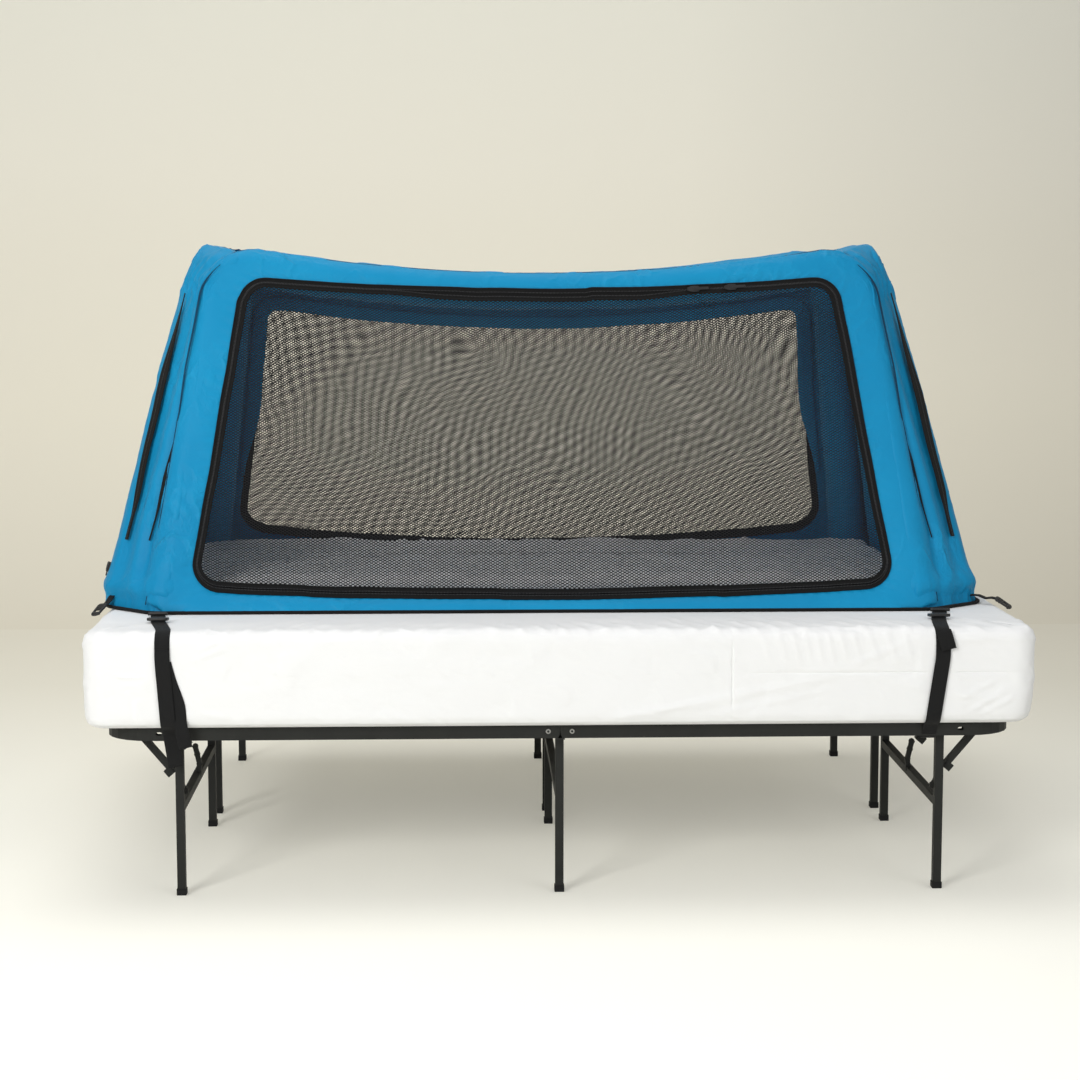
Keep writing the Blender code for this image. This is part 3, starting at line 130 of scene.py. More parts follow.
# Hold-down straps; their places in X are from the photograph
STRAP_WIDTH = 0.032
STRAP_FRONT = 0.7652
STRAP_REST = 0.5855
STRAP_SPLIT = 0.5483
STRAP_SEWN = 0.5138
RAIL_FRONT = 0.7272
BUCKLE_Y = 0.628
STITCH_SPACING = 0.0034
STITCH = (0.0024, 0.0007, 0.0006)
STRAP_PLACES = {
    "left": {"sewn": -0.8830, "keeper": -0.881, "slide": -0.868, "edge": -0.843, "rail": -0.8335},
    "right": {"sewn": 0.8520, "keeper": 0.849, "slide": 0.826, "edge": 0.8085, "rail": 0.7900},
}
STRAP_ENDS = {
    "left": ((0.004, 0.0003, 0.335), (0.011, 0.0006, 0.290)),
    "right": ((-0.001, 0.0, 0.350), (-0.001, -0.003, 0.3415), (-0.001, -0.014, 0.3395)),
}
STRAP_TAILS = {
    "left": (
        (-0.8380, 0.7640, 0.520), (-0.8280, 0.7640, 0.48), (-0.8100, 0.7640, 0.43),
        (-0.8080, 0.7642, 0.395), (-0.8030, 0.7650, 0.365), (-0.7960, 0.7655, 0.338),
    ),
    "right": (
        (0.8085, 0.7642, 0.580), (0.8110, 0.7682, 0.572), (0.8160, 0.7717, 0.553),
        (0.8190, 0.7742, 0.541),
    ),
}
TAIL_SIZES = {"left": (0.028, 0.0016), "right": (STRAP_WIDTH, 0.0017)}
CORNER_STRAPS = {
    -1: (
        (-0.990, -0.385, 0.6190), (-1.001, -0.400, 0.6120), (-1.006, -0.412, 0.6030),
        (-1.010, -0.424, 0.5975), (-1.016, -0.436, 0.5960),
    ),
    1: (
        (0.950, -0.392, 0.6040), (0.966, -0.402, 0.6040), (0.980, -0.411, 0.5985),
        (0.992, -0.416, 0.6005), (1.003, -0.421, 0.5985),
    ),
}

# Folds on the mattress's front face: start and end in (x, z), width and height
FRONT_FOLDS = (
    ((0.36, 0.404), (0.36, 0.572), 0.0022, -0.0016),
    ((0.36, 0.491), (1.00, 0.489), 0.0022, -0.0016),
    ((0.08, 0.392), (0.36, 0.440), 0.006, 0.0014),
    ((0.14, 0.398), (0.48, 0.470), 0.007, 0.0016),
    ((0.22, 0.400), (0.55, 0.482), 0.006, 0.0014),
    ((0.30, 0.398), (0.60, 0.460), 0.005, 0.0012),
    ((0.86, 0.400), (0.95, 0.455), 0.005, 0.0020),
    ((0.89, 0.396), (0.97, 0.440), 0.004, 0.0018),
    ((0.84, 0.430), (0.93, 0.475), 0.005, 0.0014),
    ((-0.95, 0.492), (-0.855, 0.484), 0.004, 0.0016),
    ((-0.94, 0.470), (-0.855, 0.479), 0.004, 0.0014),
    ((-0.81, 0.510), (-0.70, 0.555), 0.005, 0.0018),
    ((-0.80, 0.530), (-0.72, 0.566), 0.004, 0.0014),
    ((-0.82, 0.425), (-0.70, 0.398), 0.006, 0.0012),
    ((0.74, 0.560), (0.60, 0.500), 0.007, 0.0014),
    ((0.70, 0.470), (0.98, 0.420), 0.009, 0.0013),
)

# How much deeper all the mattress's folds are than their own heights say
FOLD_DEPTH = 1.7

# Bands of the mattress that the straps press flat, as (middle, half width) in X
PRESSED_BANDS = ((-0.826, 0.056), (0.802, 0.036))

# Fabric patterns, as lengths in metres
THREAD = 0.0011
NET_PITCH = 0.0060
NET_GRAIN = {-1: 0.0, 1: math.radians(11)}
KNIT = 0.0016

# Colours on the platform's steel, by their place
BARE_STEEL = (0.38, 0.38, 0.36)
SCUFFED = (0.10, 0.10, 0.09)
FOOT_PLASTIC = (0.010, 0.010, 0.010)

# Studio
# Painted light on the paper: the floor brighter towards the camera and darker towards the back, the
# backdrop darker at its foot.
GROUND_TONES = [
    (0.0, (0.98, 0.98, 0.93)),
    (0.35, (0.90, 0.89, 0.82)),
    (0.75, (0.73, 0.70, 0.60)),
    (1.0, (0.72, 0.68, 0.57)),
]
WALL_TONES = [
    (0.0, (0.70, 0.66, 0.55)),
    (0.25, (0.76, 0.72, 0.60)),
    (0.6, (0.78, 0.75, 0.65)),
    (1.0, (0.76, 0.75, 0.66)),
]
LAMPS = (
    ("key_box", (-3.0, -5.4, 2.8), (0, 0, 0.6), 1.8, 172.0),
    ("fill_box", (3.4, -5.0, 2.4), (0, 0, 0.6), 3.0, 58.0),
    ("top_box", (-0.6, 0.4, 4.6), (0, 0, 0.5), 3.0, 66.0),
)
SKY_STRENGTH = 0.43
PAPER_LIFT = 0.262
SWEEP_HALF = 14.0
SWEEP_BACK = 3.0
SWEEP_BEND = 1.5
SWEEP_HIGH = 9.0


# Shader tools


class Wire:
    """A shader socket that can stand in an expression: each operator adds its Math node."""

    def __init__(self, look, socket):
        self.look = look
        self.socket = socket

    def math(self, operation, *others):
        return self.look.node("ShaderNodeMath", {"operation": operation}, self, *others)

    def __add__(self, other):
        return self.math("ADD", other)

    __radd__ = __add__

    def __sub__(self, other):
        return self.math("SUBTRACT", other)

    def __rsub__(self, other):
        return self.look.node("ShaderNodeMath", {"operation": "SUBTRACT"}, other, self)

    def __mul__(self, other):
        return self.math("MULTIPLY", other)

    __rmul__ = __mul__

    def __truediv__(self, other):
        return self.math("DIVIDE", other)

    def __gt__(self, other):
        return self.math("GREATER_THAN", other)

    def __lt__(self, other):
        return self.math("LESS_THAN", other)

    def clamp(self):
        return self.look.node("ShaderNodeClamp", {}, self)


class Look:
    """A material on one Principled shader, with helpers for the nodes in front of it."""

    def __init__(self, name, **fixed):
        self.material = bpy.data.materials.new(name)
        self.material.use_nodes = True
        self.tree = self.material.node_tree
        self.shader = self.tree.nodes["Principled BSDF"]
        for label, value in fixed.items():
            self.shader.inputs[label.replace("_", " ")].default_value = value

    def give(self, socket, value):
        if isinstance(value, Wire):
            self.tree.links.new(value.socket, socket)
        else:
            socket.default_value = value

    def node(self, kind, settings, *values, out=0, **named):
        """A node with its settings and the values or wires of its inputs; returns one of its outputs."""
        made = self.tree.nodes.new(kind)
        for key, value in settings.items():
            setattr(made, key, value)
        for index, value in enumerate(values):
            self.give(made.inputs[index], value)
        for label, value in named.items():
            self.give(made.inputs[label.replace("_", " ")], value)
        return Wire(self, made.outputs[out])

    def others(self, wire, *labels):
        """Further outputs of the node that a wire comes from."""
        return [Wire(self, wire.socket.node.outputs[label]) for label in labels]

    def place(self):
        return self.node("ShaderNodeTexCoord", {}, out="Object")

    def cloth(self):
        """The two coordinates of the UV map named cloth, in metres."""
        return self.split(self.node("ShaderNodeUVMap", {"uv_map": "cloth"}))[:2]

    def split(self, vector):
        return self.others(self.node("ShaderNodeSeparateXYZ", {}, vector), 0, 1, 2)

    def noise(self, vector, scale, detail, roughness=0.5):
        return self.node(
            "ShaderNodeTexNoise", {}, Vector=vector, Scale=scale, Detail=detail, Roughness=roughness
        )

    def stretch(self, vector, scale):
        return self.node("ShaderNodeMapping", {"vector_type": "POINT"}, Vector=vector, Scale=scale)

    def ramp(self, stops, share):
        wire = self.node("ShaderNodeValToRGB", {}, share)
        elements = wire.socket.node.color_ramp.elements
        while len(elements) < len(stops):
            elements.new(0.5)
        for element, (place, colour) in zip(elements, stops):
            element.position = place
            element.color = (*colour, 1.0)
        return wire

    def mix(self, share, first, second):
        made = self.tree.nodes.new("ShaderNodeMix")
        made.data_type = "RGBA"
        colours = [value if isinstance(value, Wire) else (*value, 1.0) for value in (first, second)]
        for index, value in zip((0, 6, 7), (share, *colours)):
            self.give(made.inputs[index], value)
        return Wire(self, made.outputs[2])

    def bump(self, height, depth, strength=1.0, **under):
        return self.node("ShaderNodeBump", {}, Height=height, Distance=depth, Strength=strength, **under)

    def ridges(self, vector, scale, detail, sharp):
        """Network of narrow folds: 1 on the fold lines of a noise, falling quickly beside them."""
        return 1.0 - ((self.noise(vector, scale, detail) - 0.5).math("ABSOLUTE") * sharp).clamp()

    def feed(self, **wires):
        """Wires into the shader's sockets; returns the finished material."""
        for label, wire in wires.items():
            self.tree.links.new(wire.socket, self.shader.inputs[label.replace("_", " ")])
        return self.material


def toned(colour, times, plus=0.0):
    """A paler or darker tone of a colour."""
    return tuple(c * times + plus for c in colour)


def coated_nylon(name, colour, deep, ridge_highlight):
    """Blue taffeta: plain weave, and patches of crumpled folds with a painted highlight, a paler tone, on
    their ridges.
    """
    look = Look(name, Specular_IOR_Level=0.16, Sheen_Weight=0.03, Sheen_Roughness=0.5)
    place = look.place()
    broad = look.noise(place, 2.5, 2.0)
    slack = look.noise(look.stretch(place, (1.0, 1.0, 0.5)), 9.0, 2.0)
    patches = ((look.noise(place, 6.0, 2.0) - 0.46) * 4.0).clamp()
    creases = look.ridges(look.stretch(place, (1.0, 1.3, 0.6)), 15.0, 1.5, 16.0) * patches
    small = look.ridges(look.stretch(place, (1.2, 1.0, 0.9)), 34.0, 2.0, 12.0) * patches
    tone = look.mix((broad * 1.8 - 0.4).clamp(), deep, colour)
    # Painted highlight: the crease and fold ridges are mixed towards the paler blue.
    tone = look.mix((creases * 0.28 + small * 0.12).clamp(), tone, ridge_highlight)
    warp, weft = ((way * (math.pi / THREAD)).math("SINE").math("ABSOLUTE") for way in look.cloth())
    normal = look.bump(warp * weft, 0.0001, 0.5)
    for height, depth, strength in ((slack, 0.0030, 0.6), (creases, 0.0028, 0.9), (small, 0.0009, 0.8)):
        normal = look.bump(height, depth, strength, Normal=normal)
    return look.feed(Base_Color=tone, Roughness=0.46 + broad * 0.12, Normal=normal)


def netting(name, colour):
    """Knitted netting: round holes in staggered rows, cut out by the shader's alpha."""
    look = Look(name, Specular_IOR_Level=0.1, Roughness=0.8)
    u, v = look.cloth()
    across = u * (TURN / (NET_PITCH * math.sqrt(3.0)))
    along = v * (TURN / NET_PITCH)
    field = (across + along).math("COSINE") + (across - along).math("COSINE")
    field = field + (across * 2.0).math("COSINE") * 0.30
    yarn = (-0.05 - field) * 7.0 + 0.5
    tone = look.mix((field * 0.3 + 0.5).clamp(), colour, toned(colour, 1.8))
    return look.feed(Base_Color=tone, Alpha=yarn.clamp(), Normal=look.bump(yarn, 0.0005, 0.5))


def woven_tape(name, colour, rib=0.0016):
    """Ribbed webbing or zip tape: slanting ribs, a little dust, and painted highlight on the ribs with
    painted shade between them.
    """
    look = Look(name, Specular_IOR_Level=0.16, Sheen_Weight=0.03)
    u, v = look.cloth()
    slant = (u * (TURN / (rib * 2.5))).math("SINE") * 0.5
    ribs = (v * (TURN / rib) + slant).math("SINE") * 0.5 + 0.5
    dust = look.noise(look.place(), 60.0, 4.0, 0.6)
    # Painted highlight and shade: paler on the rib tops, darker in the hollows between them.
    tone = look.mix(ribs, toned(colour, 0.6), toned(colour, 1.4))
    tone = look.mix(dust * 0.4, tone, toned(colour, 1.3, 0.008))
    return look.feed(Base_Color=tone, Roughness=0.72 + dust * 0.1, Normal=look.bump(ribs, 0.0004, 0.7))


def moulded_plastic(name, colour, rough=0.38):
    """Black acetal of buckles, sliders and the valve: fine grain and rubbed patches."""
    look = Look(name, Specular_IOR_Level=0.45)
    grain = look.noise(look.place(), 1400.0, 2.0)
    wear = look.noise(look.place(), 45.0, 5.0, 0.65)
    tone = look.mix((wear * 1.6 - 0.5).clamp(), colour, toned(colour, 1.6, 0.004))
    return look.feed(Base_Color=tone, Roughness=rough + wear * 0.2, Normal=look.bump(grain, 0.0001, 0.3))


def coated_steel(name, colour, rivets=False, feet=False):
    """Black powder coat with its fine grain; bare rivets and plastic feet are told by their place."""
    look = Look(name, Specular_IOR_Level=0.22)
    place = look.place()
    x, y, z = look.split(place)
    grain = look.noise(place, 1100.0, 3.0, 0.6)
    drift = look.noise(place, 14.0, 4.0, 0.6)
    scuff = look.noise(look.stretch(place, (1.0, 6.0, 1.0)), 120.0, 5.0, 0.7)
    tone = look.mix((drift * 1.4 - 0.2).clamp(), colour, toned(colour, 1.45, 0.003))
    tone = look.mix(((scuff - 0.66) * 5.0).clamp() * 0.5, tone, SCUFFED)
    rough = 0.46 + drift * 0.12 + scuff * 0.08
    if feet:
        cap = z < FOOT_HEIGHT
        tone = look.mix(cap, tone, FOOT_PLASTIC)
        rough = rough + cap * 0.18
    if rivets:
        near = 0.0
        for seam in RIVET_SEAMS:
            apart = (x - seam) * (x - seam) + (z - RIVET_Z) * (z - RIVET_Z)
            near = (apart < RIVET_HEAD**2) * (apart > RIVET_HOLE**2) + near
        proud = 0.0
        for row in UNIT_ROWS:
            proud = ((y - row).math("ABSOLUTE") < RIVET_PROUD) + proud
        bare = (near * proud).clamp()
        tone = look.mix(bare, tone, BARE_STEEL)
        rough = rough - bare * 0.22
        look.feed(Metallic=bare)
    return look.feed(Base_Color=tone, Roughness=rough, Normal=look.bump(grain, 0.00018, 0.35))


def white_cloth(name, colour, crease=0.003):
    """Fitted sheet of a mattress: a fine knit and shallow pulled creases."""
    look = Look(name, Specular_IOR_Level=0.2, Sheen_Weight=0.1)
    place = look.place()
    cells = look.node("ShaderNodeTexVoronoi", {}, Vector=place, Scale=1.0 / KNIT)
    pulled = look.ridges(look.stretch(place, (0.55, 1.0, 1.7)), 9.0, 3.0, 4.0)
    soft = look.noise(place, 5.0, 3.0)
    tone = look.mix((soft * 1.3 - 0.15).clamp(), toned(colour, 0.975), colour)
    normal = look.bump(pulled, crease, 0.35, Normal=look.bump(cells, 0.0002, 0.3))
    return look.feed(Base_Color=tone, Roughness=0.84 + soft * 0.1, Normal=normal)


# Mesh tools


def turn_outwards(mesh, merge):
    """Recalculate a closed mesh's normals, after merging points that lie together."""
    shell = bmesh.new()
    shell.from_mesh(mesh)
    if merge:
        bmesh.ops.remove_doubles(shell, verts=shell.verts, dist=merge)
    bmesh.ops.recalc_face_normals(shell, faces=shell.faces)
    shell.to_mesh(mesh)
    shell.free()


def mesh_piece(name, points, faces, look, cloth=None, closed=False, merge=0.0, **options):
    """A piece from vertices and faces in the bed's own frame, with an optional UV map named cloth."""
    mesh = bpy.data.meshes.new(name)
    mesh.from_pydata([tuple(map(float, p)) for p in points], [], [tuple(map(int, f)) for f in faces])
    if cloth is not None:
        layer = mesh.uv_layers.new(name="cloth")
        layer.data.foreach_set("uv", np.asarray(cloth, np.float32).ravel())
    mesh.materials.append(look)
    if closed:
        turn_outwards(mesh, merge)
    mesh.shade_smooth()
    return place_piece(name, mesh, look, **options)


def place_piece(name, mesh, look, body="root", replaces=()):
    """A piece on its body, in place of the CAD nodes that it dresses."""
    piece = bpy.data.objects.new(name, mesh)
    bpy.context.scene.collection.objects.link(piece)
    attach(piece, body)
    if replaces:
        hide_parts(*replaces)
    return piece


def grid_faces(rows, columns, closed_rows=False, closed_columns=False):
    """Quads of a grid of points, row by row, and the grid index of each of their corners."""
    faces = []
    corners = []
    for r in range(rows if closed_rows else rows - 1):
        for c in range(columns if closed_columns else columns - 1):
            quad = ((r, c), (r, c + 1), (r + 1, c + 1), (r + 1, c))
            faces.append([(i % rows) * columns + j % columns for i, j in quad])
            corners.append(quad)
    return faces, corners


def run_lengths(points, axis, closed):
    """Mean distance travelled along one direction of a grid, with the closing step at the end."""
    ahead = np.roll(points, -1, axis=axis)
    steps = np.linalg.norm(ahead - points, axis=2).mean(axis=1 - axis)
    total = np.concatenate(([0.0], np.cumsum(steps)))
    return total if closed else total[:-1]


def cloth_grid(
    name, points, look, closed_rows=False, closed_columns=False, caps=False, flat=None, **options
):
    """Piece over a grid of points with a UV map in metres. Flat gives the UV of each point instead."""
    points = np.asarray(points, float)
    rows, columns = points.shape[:2]
    faces, corners = grid_faces(rows, columns, closed_rows, closed_columns)
    if flat is None:
        along = run_lengths(points, 0, closed_rows)
        across = run_lengths(points, 1, closed_columns)
        uv = [(across[c], along[r]) for quad in corners for r, c in quad]
    else:
        flat = np.asarray(flat, float)
        uv = [flat[r % rows, c % columns] for quad in corners for r, c in quad]
    if caps:
        for r, order in ((0, 1), (rows - 1, -1)):
            faces.append([r * columns + c for c in range(columns)][::-order])
            uv += [(0.0, 0.0)] * columns
    closed = closed_columns and (caps or closed_rows)
    return mesh_piece(name, points.reshape(-1, 3), faces, look, cloth=uv, closed=closed, **options)


def fillet(corners, radius, steps, closed=False):
    """Polyline with its corners replaced by arcs."""
    result = []
    corners = [np.asarray(c, float) for c in corners]
    count = len(corners)
    for i, corner in enumerate(corners):
        if not closed and i in (0, count - 1):
            result.append(corner)
            continue
        to_last = unit(corners[i - 1] - corner)
        to_next = unit(corners[(i + 1) % count] - corner)
        half = math.acos(np.clip(to_last @ to_next, -1, 1)) / 2
        reach = radius / math.tan(half)
        centre = corner + unit(to_last + to_next) * radius / math.sin(half)
        first = corner + to_last * reach - centre
        last = corner + to_next * reach - centre
        span = math.acos(np.clip(first @ last / radius**2, -1, 1))
        for a in np.linspace(0, 1, steps + 1):
            turned = first * math.sin((1 - a) * span) + last * math.sin(a * span)
            result.append(centre + turned / math.sin(span))
    return np.array(result)


def resample(line, spacing=None, closed=False, count=None):
    """Points at even spacing along a polyline."""
    line = np.asarray(line, float)
    if closed:
        line = np.vstack([line, line[:1]])
    steps = np.linalg.norm(np.diff(line, axis=0), axis=1)
    line = line[np.concatenate(([True], steps > 1e-9))]
    length = np.concatenate(([0.0], np.cumsum(np.linalg.norm(np.diff(line, axis=0), axis=1))))
    if count is None:
        count = max(int(round(length[-1] / spacing)), 3) + (0 if closed else 1)
    at = np.linspace(0, length[-1], count + 1)[:-1] if closed else np.linspace(0, length[-1], count)
    return np.stack([np.interp(at, length, line[:, k]) for k in range(line.shape[1])], axis=1)


def unit(vectors):
    """Vectors brought to length 1."""
    return vectors / np.maximum(np.linalg.norm(vectors, axis=-1, keepdims=True), 1e-12)


def headings(line, closed=False):
    """Direction of travel at each point of a polyline."""
    if closed:
        return unit(np.roll(line, -1, axis=0) - np.roll(line, 1, axis=0))
    return unit(np.gradient(line, axis=0))


def crinkle(points, seed, wavelength, warp=0.9):
    """Smooth uneven ripples from -1 to 1 over any array of points: eight waves that bend each other."""
    rng = np.random.default_rng(seed)
    total = np.zeros(points.shape[:-1])
    for _ in range(8):
        direction = unit(rng.normal(size=points.shape[-1]))
        length = wavelength * rng.uniform(0.6, 1.7)
        phase = rng.uniform(0, TURN)
        total = total + np.sin(points @ direction * (TURN / length) + phase + warp * total)
    return total / math.sqrt(8) / 1.6


def folds(points, seed, wavelength, sharp=3.0):
    """Narrow ridges between 0 and 1, where the ripples of crinkle cross zero."""
    return np.clip(1.0 - sharp * np.abs(crinkle(points, seed, wavelength)), 0.0, 1.0)


def bell(distance, width):
    """1 at no distance, falling smoothly to almost nothing at twice the width."""
    return np.exp(-((distance / width) ** 2))


def turns_of(count):
    """Evenly spaced angles round a full turn."""
    return np.linspace(0, TURN, count + 1)[:-1]


def smooth_step(low, high, values):
    """0 below low, 1 above high and a smooth rise between; falls instead if low is the larger."""
    share = np.clip((values - low) / (high - low), 0.0, 1.0)
    return share * share * (3 - 2 * share)


def together(*parts):
    """Coordinates of any shapes brought to one array of points."""
    return np.stack(np.broadcast_arrays(*parts), axis=-1)


def sweep(name, line, across, out, profile, look, closed=False, **options):
    """A closed cross-section carried along a polyline; across and out are directions at each point."""
    points = np.stack([line + across * a + out * b for a, b in profile], axis=1)
    return cloth_grid(
        name, points, look, closed_rows=closed, closed_columns=True, caps=not closed, **options
    )


def tape_profile(width, thickness):
    """Cross-section of a tape with round edges, in order round it."""
    half = width / 2 - thickness / 2
    edge = thickness / 2
    right = [(half + edge * math.cos(a), edge * math.sin(a)) for a in np.radians((-90, -45, 0, 45))]
    ring = right + [(half - 2 * half * k / 4, edge) for k in range(4)]
    return ring + [(-a, -b) for a, b in ring]


def round_tube(name, line, radius, look, sides=8, closed=False, **options):
    """Thin round tube, such as a cord or piping, along a polyline."""
    heading = headings(line, closed)
    side = np.cross(heading, np.array([0.0, 0.0, 1.0]))
    weak = np.linalg.norm(side, axis=1) < 0.2
    side[weak] = np.cross(heading[weak], np.array([1.0, 0.0, 0.0]))
    side = unit(side)
    profile = [(radius * math.cos(a), radius * math.sin(a)) for a in turns_of(sides)]
    return sweep(name, line, side, np.cross(side, heading), profile, look, closed, **options)


def cross_bar(name, middle, direction, half, radius, count, sides):
    """Short straight plastic bar of a buckle."""
    line = np.asarray(middle) + np.outer(np.linspace(-half, half, count), direction)
    round_tube(name, line, radius, plastic, sides=sides)


def path_band(name, line, out, width, thickness, look, closed=False, **options):
    """Tape along a polyline, flat on a surface whose outward direction is given."""
    out = np.broadcast_to(out, line.shape)
    across = unit(np.cross(headings(line, closed), out))
    return sweep(name, line, across, out, tape_profile(width, thickness), look, closed, **options)


# Repeats, made with Geometry Nodes


def repeat_tree():
    """Node tree that sets a small rounded body at an even spacing along every path of a mesh."""
    tree = bpy.data.node_groups.new("repeat_on_path", "GeometryNodeTree")
    tree.interface.new_socket("Path", in_out="INPUT", socket_type="NodeSocketGeometry")
    for label in ("Spacing", "Length", "Width", "Height"):
        tree.interface.new_socket(label, in_out="INPUT", socket_type="NodeSocketFloat")
    tree.interface.new_socket("Finish", in_out="INPUT", socket_type="NodeSocketMaterial")
    tree.interface.new_socket("Row", in_out="OUTPUT", socket_type="NodeSocketGeometry")

    def add(kind, settings=(), **inputs):
        """A node with its settings, and the values of its inputs or the sockets that feed them."""
        made = tree.nodes.new(kind)
        for key, value in settings:
            setattr(made, key, value)
        for label, value in inputs.items():
            if isinstance(value, bpy.types.NodeSocket):
                tree.links.new(value, made.inputs[label])
            else:
                made.inputs[label].default_value = value
        return made.outputs

    given = add("NodeGroupInput")
    out = add("GeometryNodeInputNamedAttribute", [("data_type", "FLOAT_VECTOR")], Name="out")[0]
    curve = add("GeometryNodeMeshToCurve", Mesh=given["Path"])[0]
    even = add("GeometryNodeResampleCurve", [("mode", "LENGTH")], Curve=curve, Length=given["Spacing"])[0]
    ball = add("GeometryNodeMeshIcoSphere", Radius=0.5, Subdivisions=1)[0]
    size = add("ShaderNodeCombineXYZ", X=given["Length"], Y=given["Width"], Z=given["Height"])[0]
    align = "FunctionNodeAlignRotationToVector"
    upright = add(align, [("axis", "Z")], Vector=out)[0]
    tangent = add("GeometryNodeInputTangent")[0]
    turned = add(align, [("axis", "X"), ("pivot_axis", "Z")], Rotation=upright, Vector=tangent)[0]
    row = add("GeometryNodeInstanceOnPoints", Points=even, Instance=ball, Rotation=turned, Scale=size)[0]
    smooth = add("GeometryNodeSetShadeSmooth", Geometry=row)[0]
    real = add("GeometryNodeRealizeInstances", Geometry=smooth)[0]
    finish = add("GeometryNodeSetMaterial", Geometry=real, Material=given["Finish"])[0]
    add("NodeGroupOutput", Row=finish)
    return tree


REPEAT_ON_PATH = repeat_tree()


def repeat_on_path(name, paths, spacing, size, look, body="root"):
    """Teeth or stitches along paths, each given as (points, outward directions, closed)."""
    points = np.vstack([line for line, _, _ in paths])
    outs = np.vstack([np.broadcast_to(out, line.shape) for line, out, _ in paths])
    edges = []
    start = 0
    for line, _, closed in paths:
        count = len(line)
        edges += [(start + k, start + (k + 1) % count) for k in range(count if closed else count - 1)]
        start += count
    guide = bpy.data.meshes.new(name + "_path")
    guide.from_pydata([tuple(p) for p in points], edges, [])
    layer = guide.attributes.new("out", "FLOAT_VECTOR", "POINT")
    layer.data.foreach_set("vector", outs.astype(np.float32).ravel())
    holder = bpy.data.objects.new(name + "_path", guide)
    bpy.context.scene.collection.objects.link(holder)
    modifier = holder.modifiers.new("repeat", "NODES")
    modifier.node_group = REPEAT_ON_PATH
    values = {"Spacing": spacing, "Length": size[0], "Width": size[1], "Height": size[2], "Finish": look}
    for socket in REPEAT_ON_PATH.interface.items_tree:
        if socket.name in values:
            modifier[socket.identifier] = values[socket.name]
    graph = bpy.context.evaluated_depsgraph_get()
    mesh = bpy.data.meshes.new_from_object(holder.evaluated_get(graph))
    mesh.name = name
    bpy.data.objects.remove(holder)
    return place_piece(name, mesh, look, body)


# Shape of the enclosure


def side_depth(z):
    """Distance of a side beam's axis from the middle."""
    share = (z - FOOT_Z) / (SIDE_TOP_Z - FOOT_Z)
    return SIDE_BASE[1] + (SIDE_TOP[1] - SIDE_BASE[1]) * share


def end_reach(z):
    """Distance of an end beam's axis from the middle; 6.75 makes the bow's highest point END_BOW."""
    share = (z - FOOT_Z) / (END_TOP_Z - FOOT_Z)
    return END_BASE[0] + (END_TOP[0] - END_BASE[0]) * share + END_BOW * 6.75 * share**2 * (1 - share)


def beam_radius(z):
    share = np.clip((z - FOOT_Z) / (SIDE_TOP_Z - SIDE_SAG - FOOT_Z), 0.0, 1.0)
    return BASE_RADIUS + (TOP_RADIUS - BASE_RADIUS) * share


def wall_out(facing):
    """Outward normal of the front or back wall."""
    lean = (SIDE_BASE[1] - SIDE_TOP[1]) / (SIDE_TOP_Z - FOOT_Z)
    return unit(np.array([0.0, facing, lean]))


def end_out(end):
    """Outward normal of the left or right end."""
    lean = (END_BASE[0] - END_TOP[0]) / (END_TOP_Z - FOOT_Z)
    return unit(np.array([end, 0.0, lean]))


def on_wall(across, height, facing, proud=0.0):
    """Points of the front or back wall's plane, moved outwards."""
    base = together(MIDDLE_X + across, facing * side_depth(height), height)
    return base + wall_out(facing) * np.asarray(proud)[..., None]


def arch_line(base, top, top_z, sag, corner):
    """Half-turned U in (across, height) with round corners and a sagging beam."""
    knee = fillet([(-base, FOOT_Z), (-top, top_z), (0.0, top_z - sag)], corner, 12)[:-1]
    start = knee[-1]
    beam_u = start[0] * (1 - np.linspace(0, 1, 24)[1:])
    beam_z = top_z - sag + (start[1] - top_z + sag) * (beam_u / start[0]) ** 2
    half = np.vstack([knee, np.stack([beam_u, beam_z], axis=1)])
    return np.vstack([half, half[-2::-1] * np.array([-1.0, 1.0])])


SIDE_LINE = arch_line(SIDE_BASE[0], SIDE_TOP[0], SIDE_TOP_Z, SIDE_SAG, SIDE_CORNER)
END_LINE = arch_line(END_BASE[1], END_TOP[1], END_TOP_Z, END_SAG, END_CORNER)


def side_axis(facing, spacing=0.008):
    across, height = resample(SIDE_LINE, spacing).T
    return on_wall(across, height, facing)


def end_axis(end, spacing=0.008):
    across, height = resample(END_LINE, spacing).T
    return together(MIDDLE_X + end * end_reach(height), across, height)


def base_flare(z):
    """How far the covers spread above the corded binding, before they tuck in under their own weight."""
    rise = z - FOOT_Z
    return 0.0050 * bell(rise - 0.036, 0.024) - 0.0150 * (1 - smooth_step(0.0, 0.030, rise))


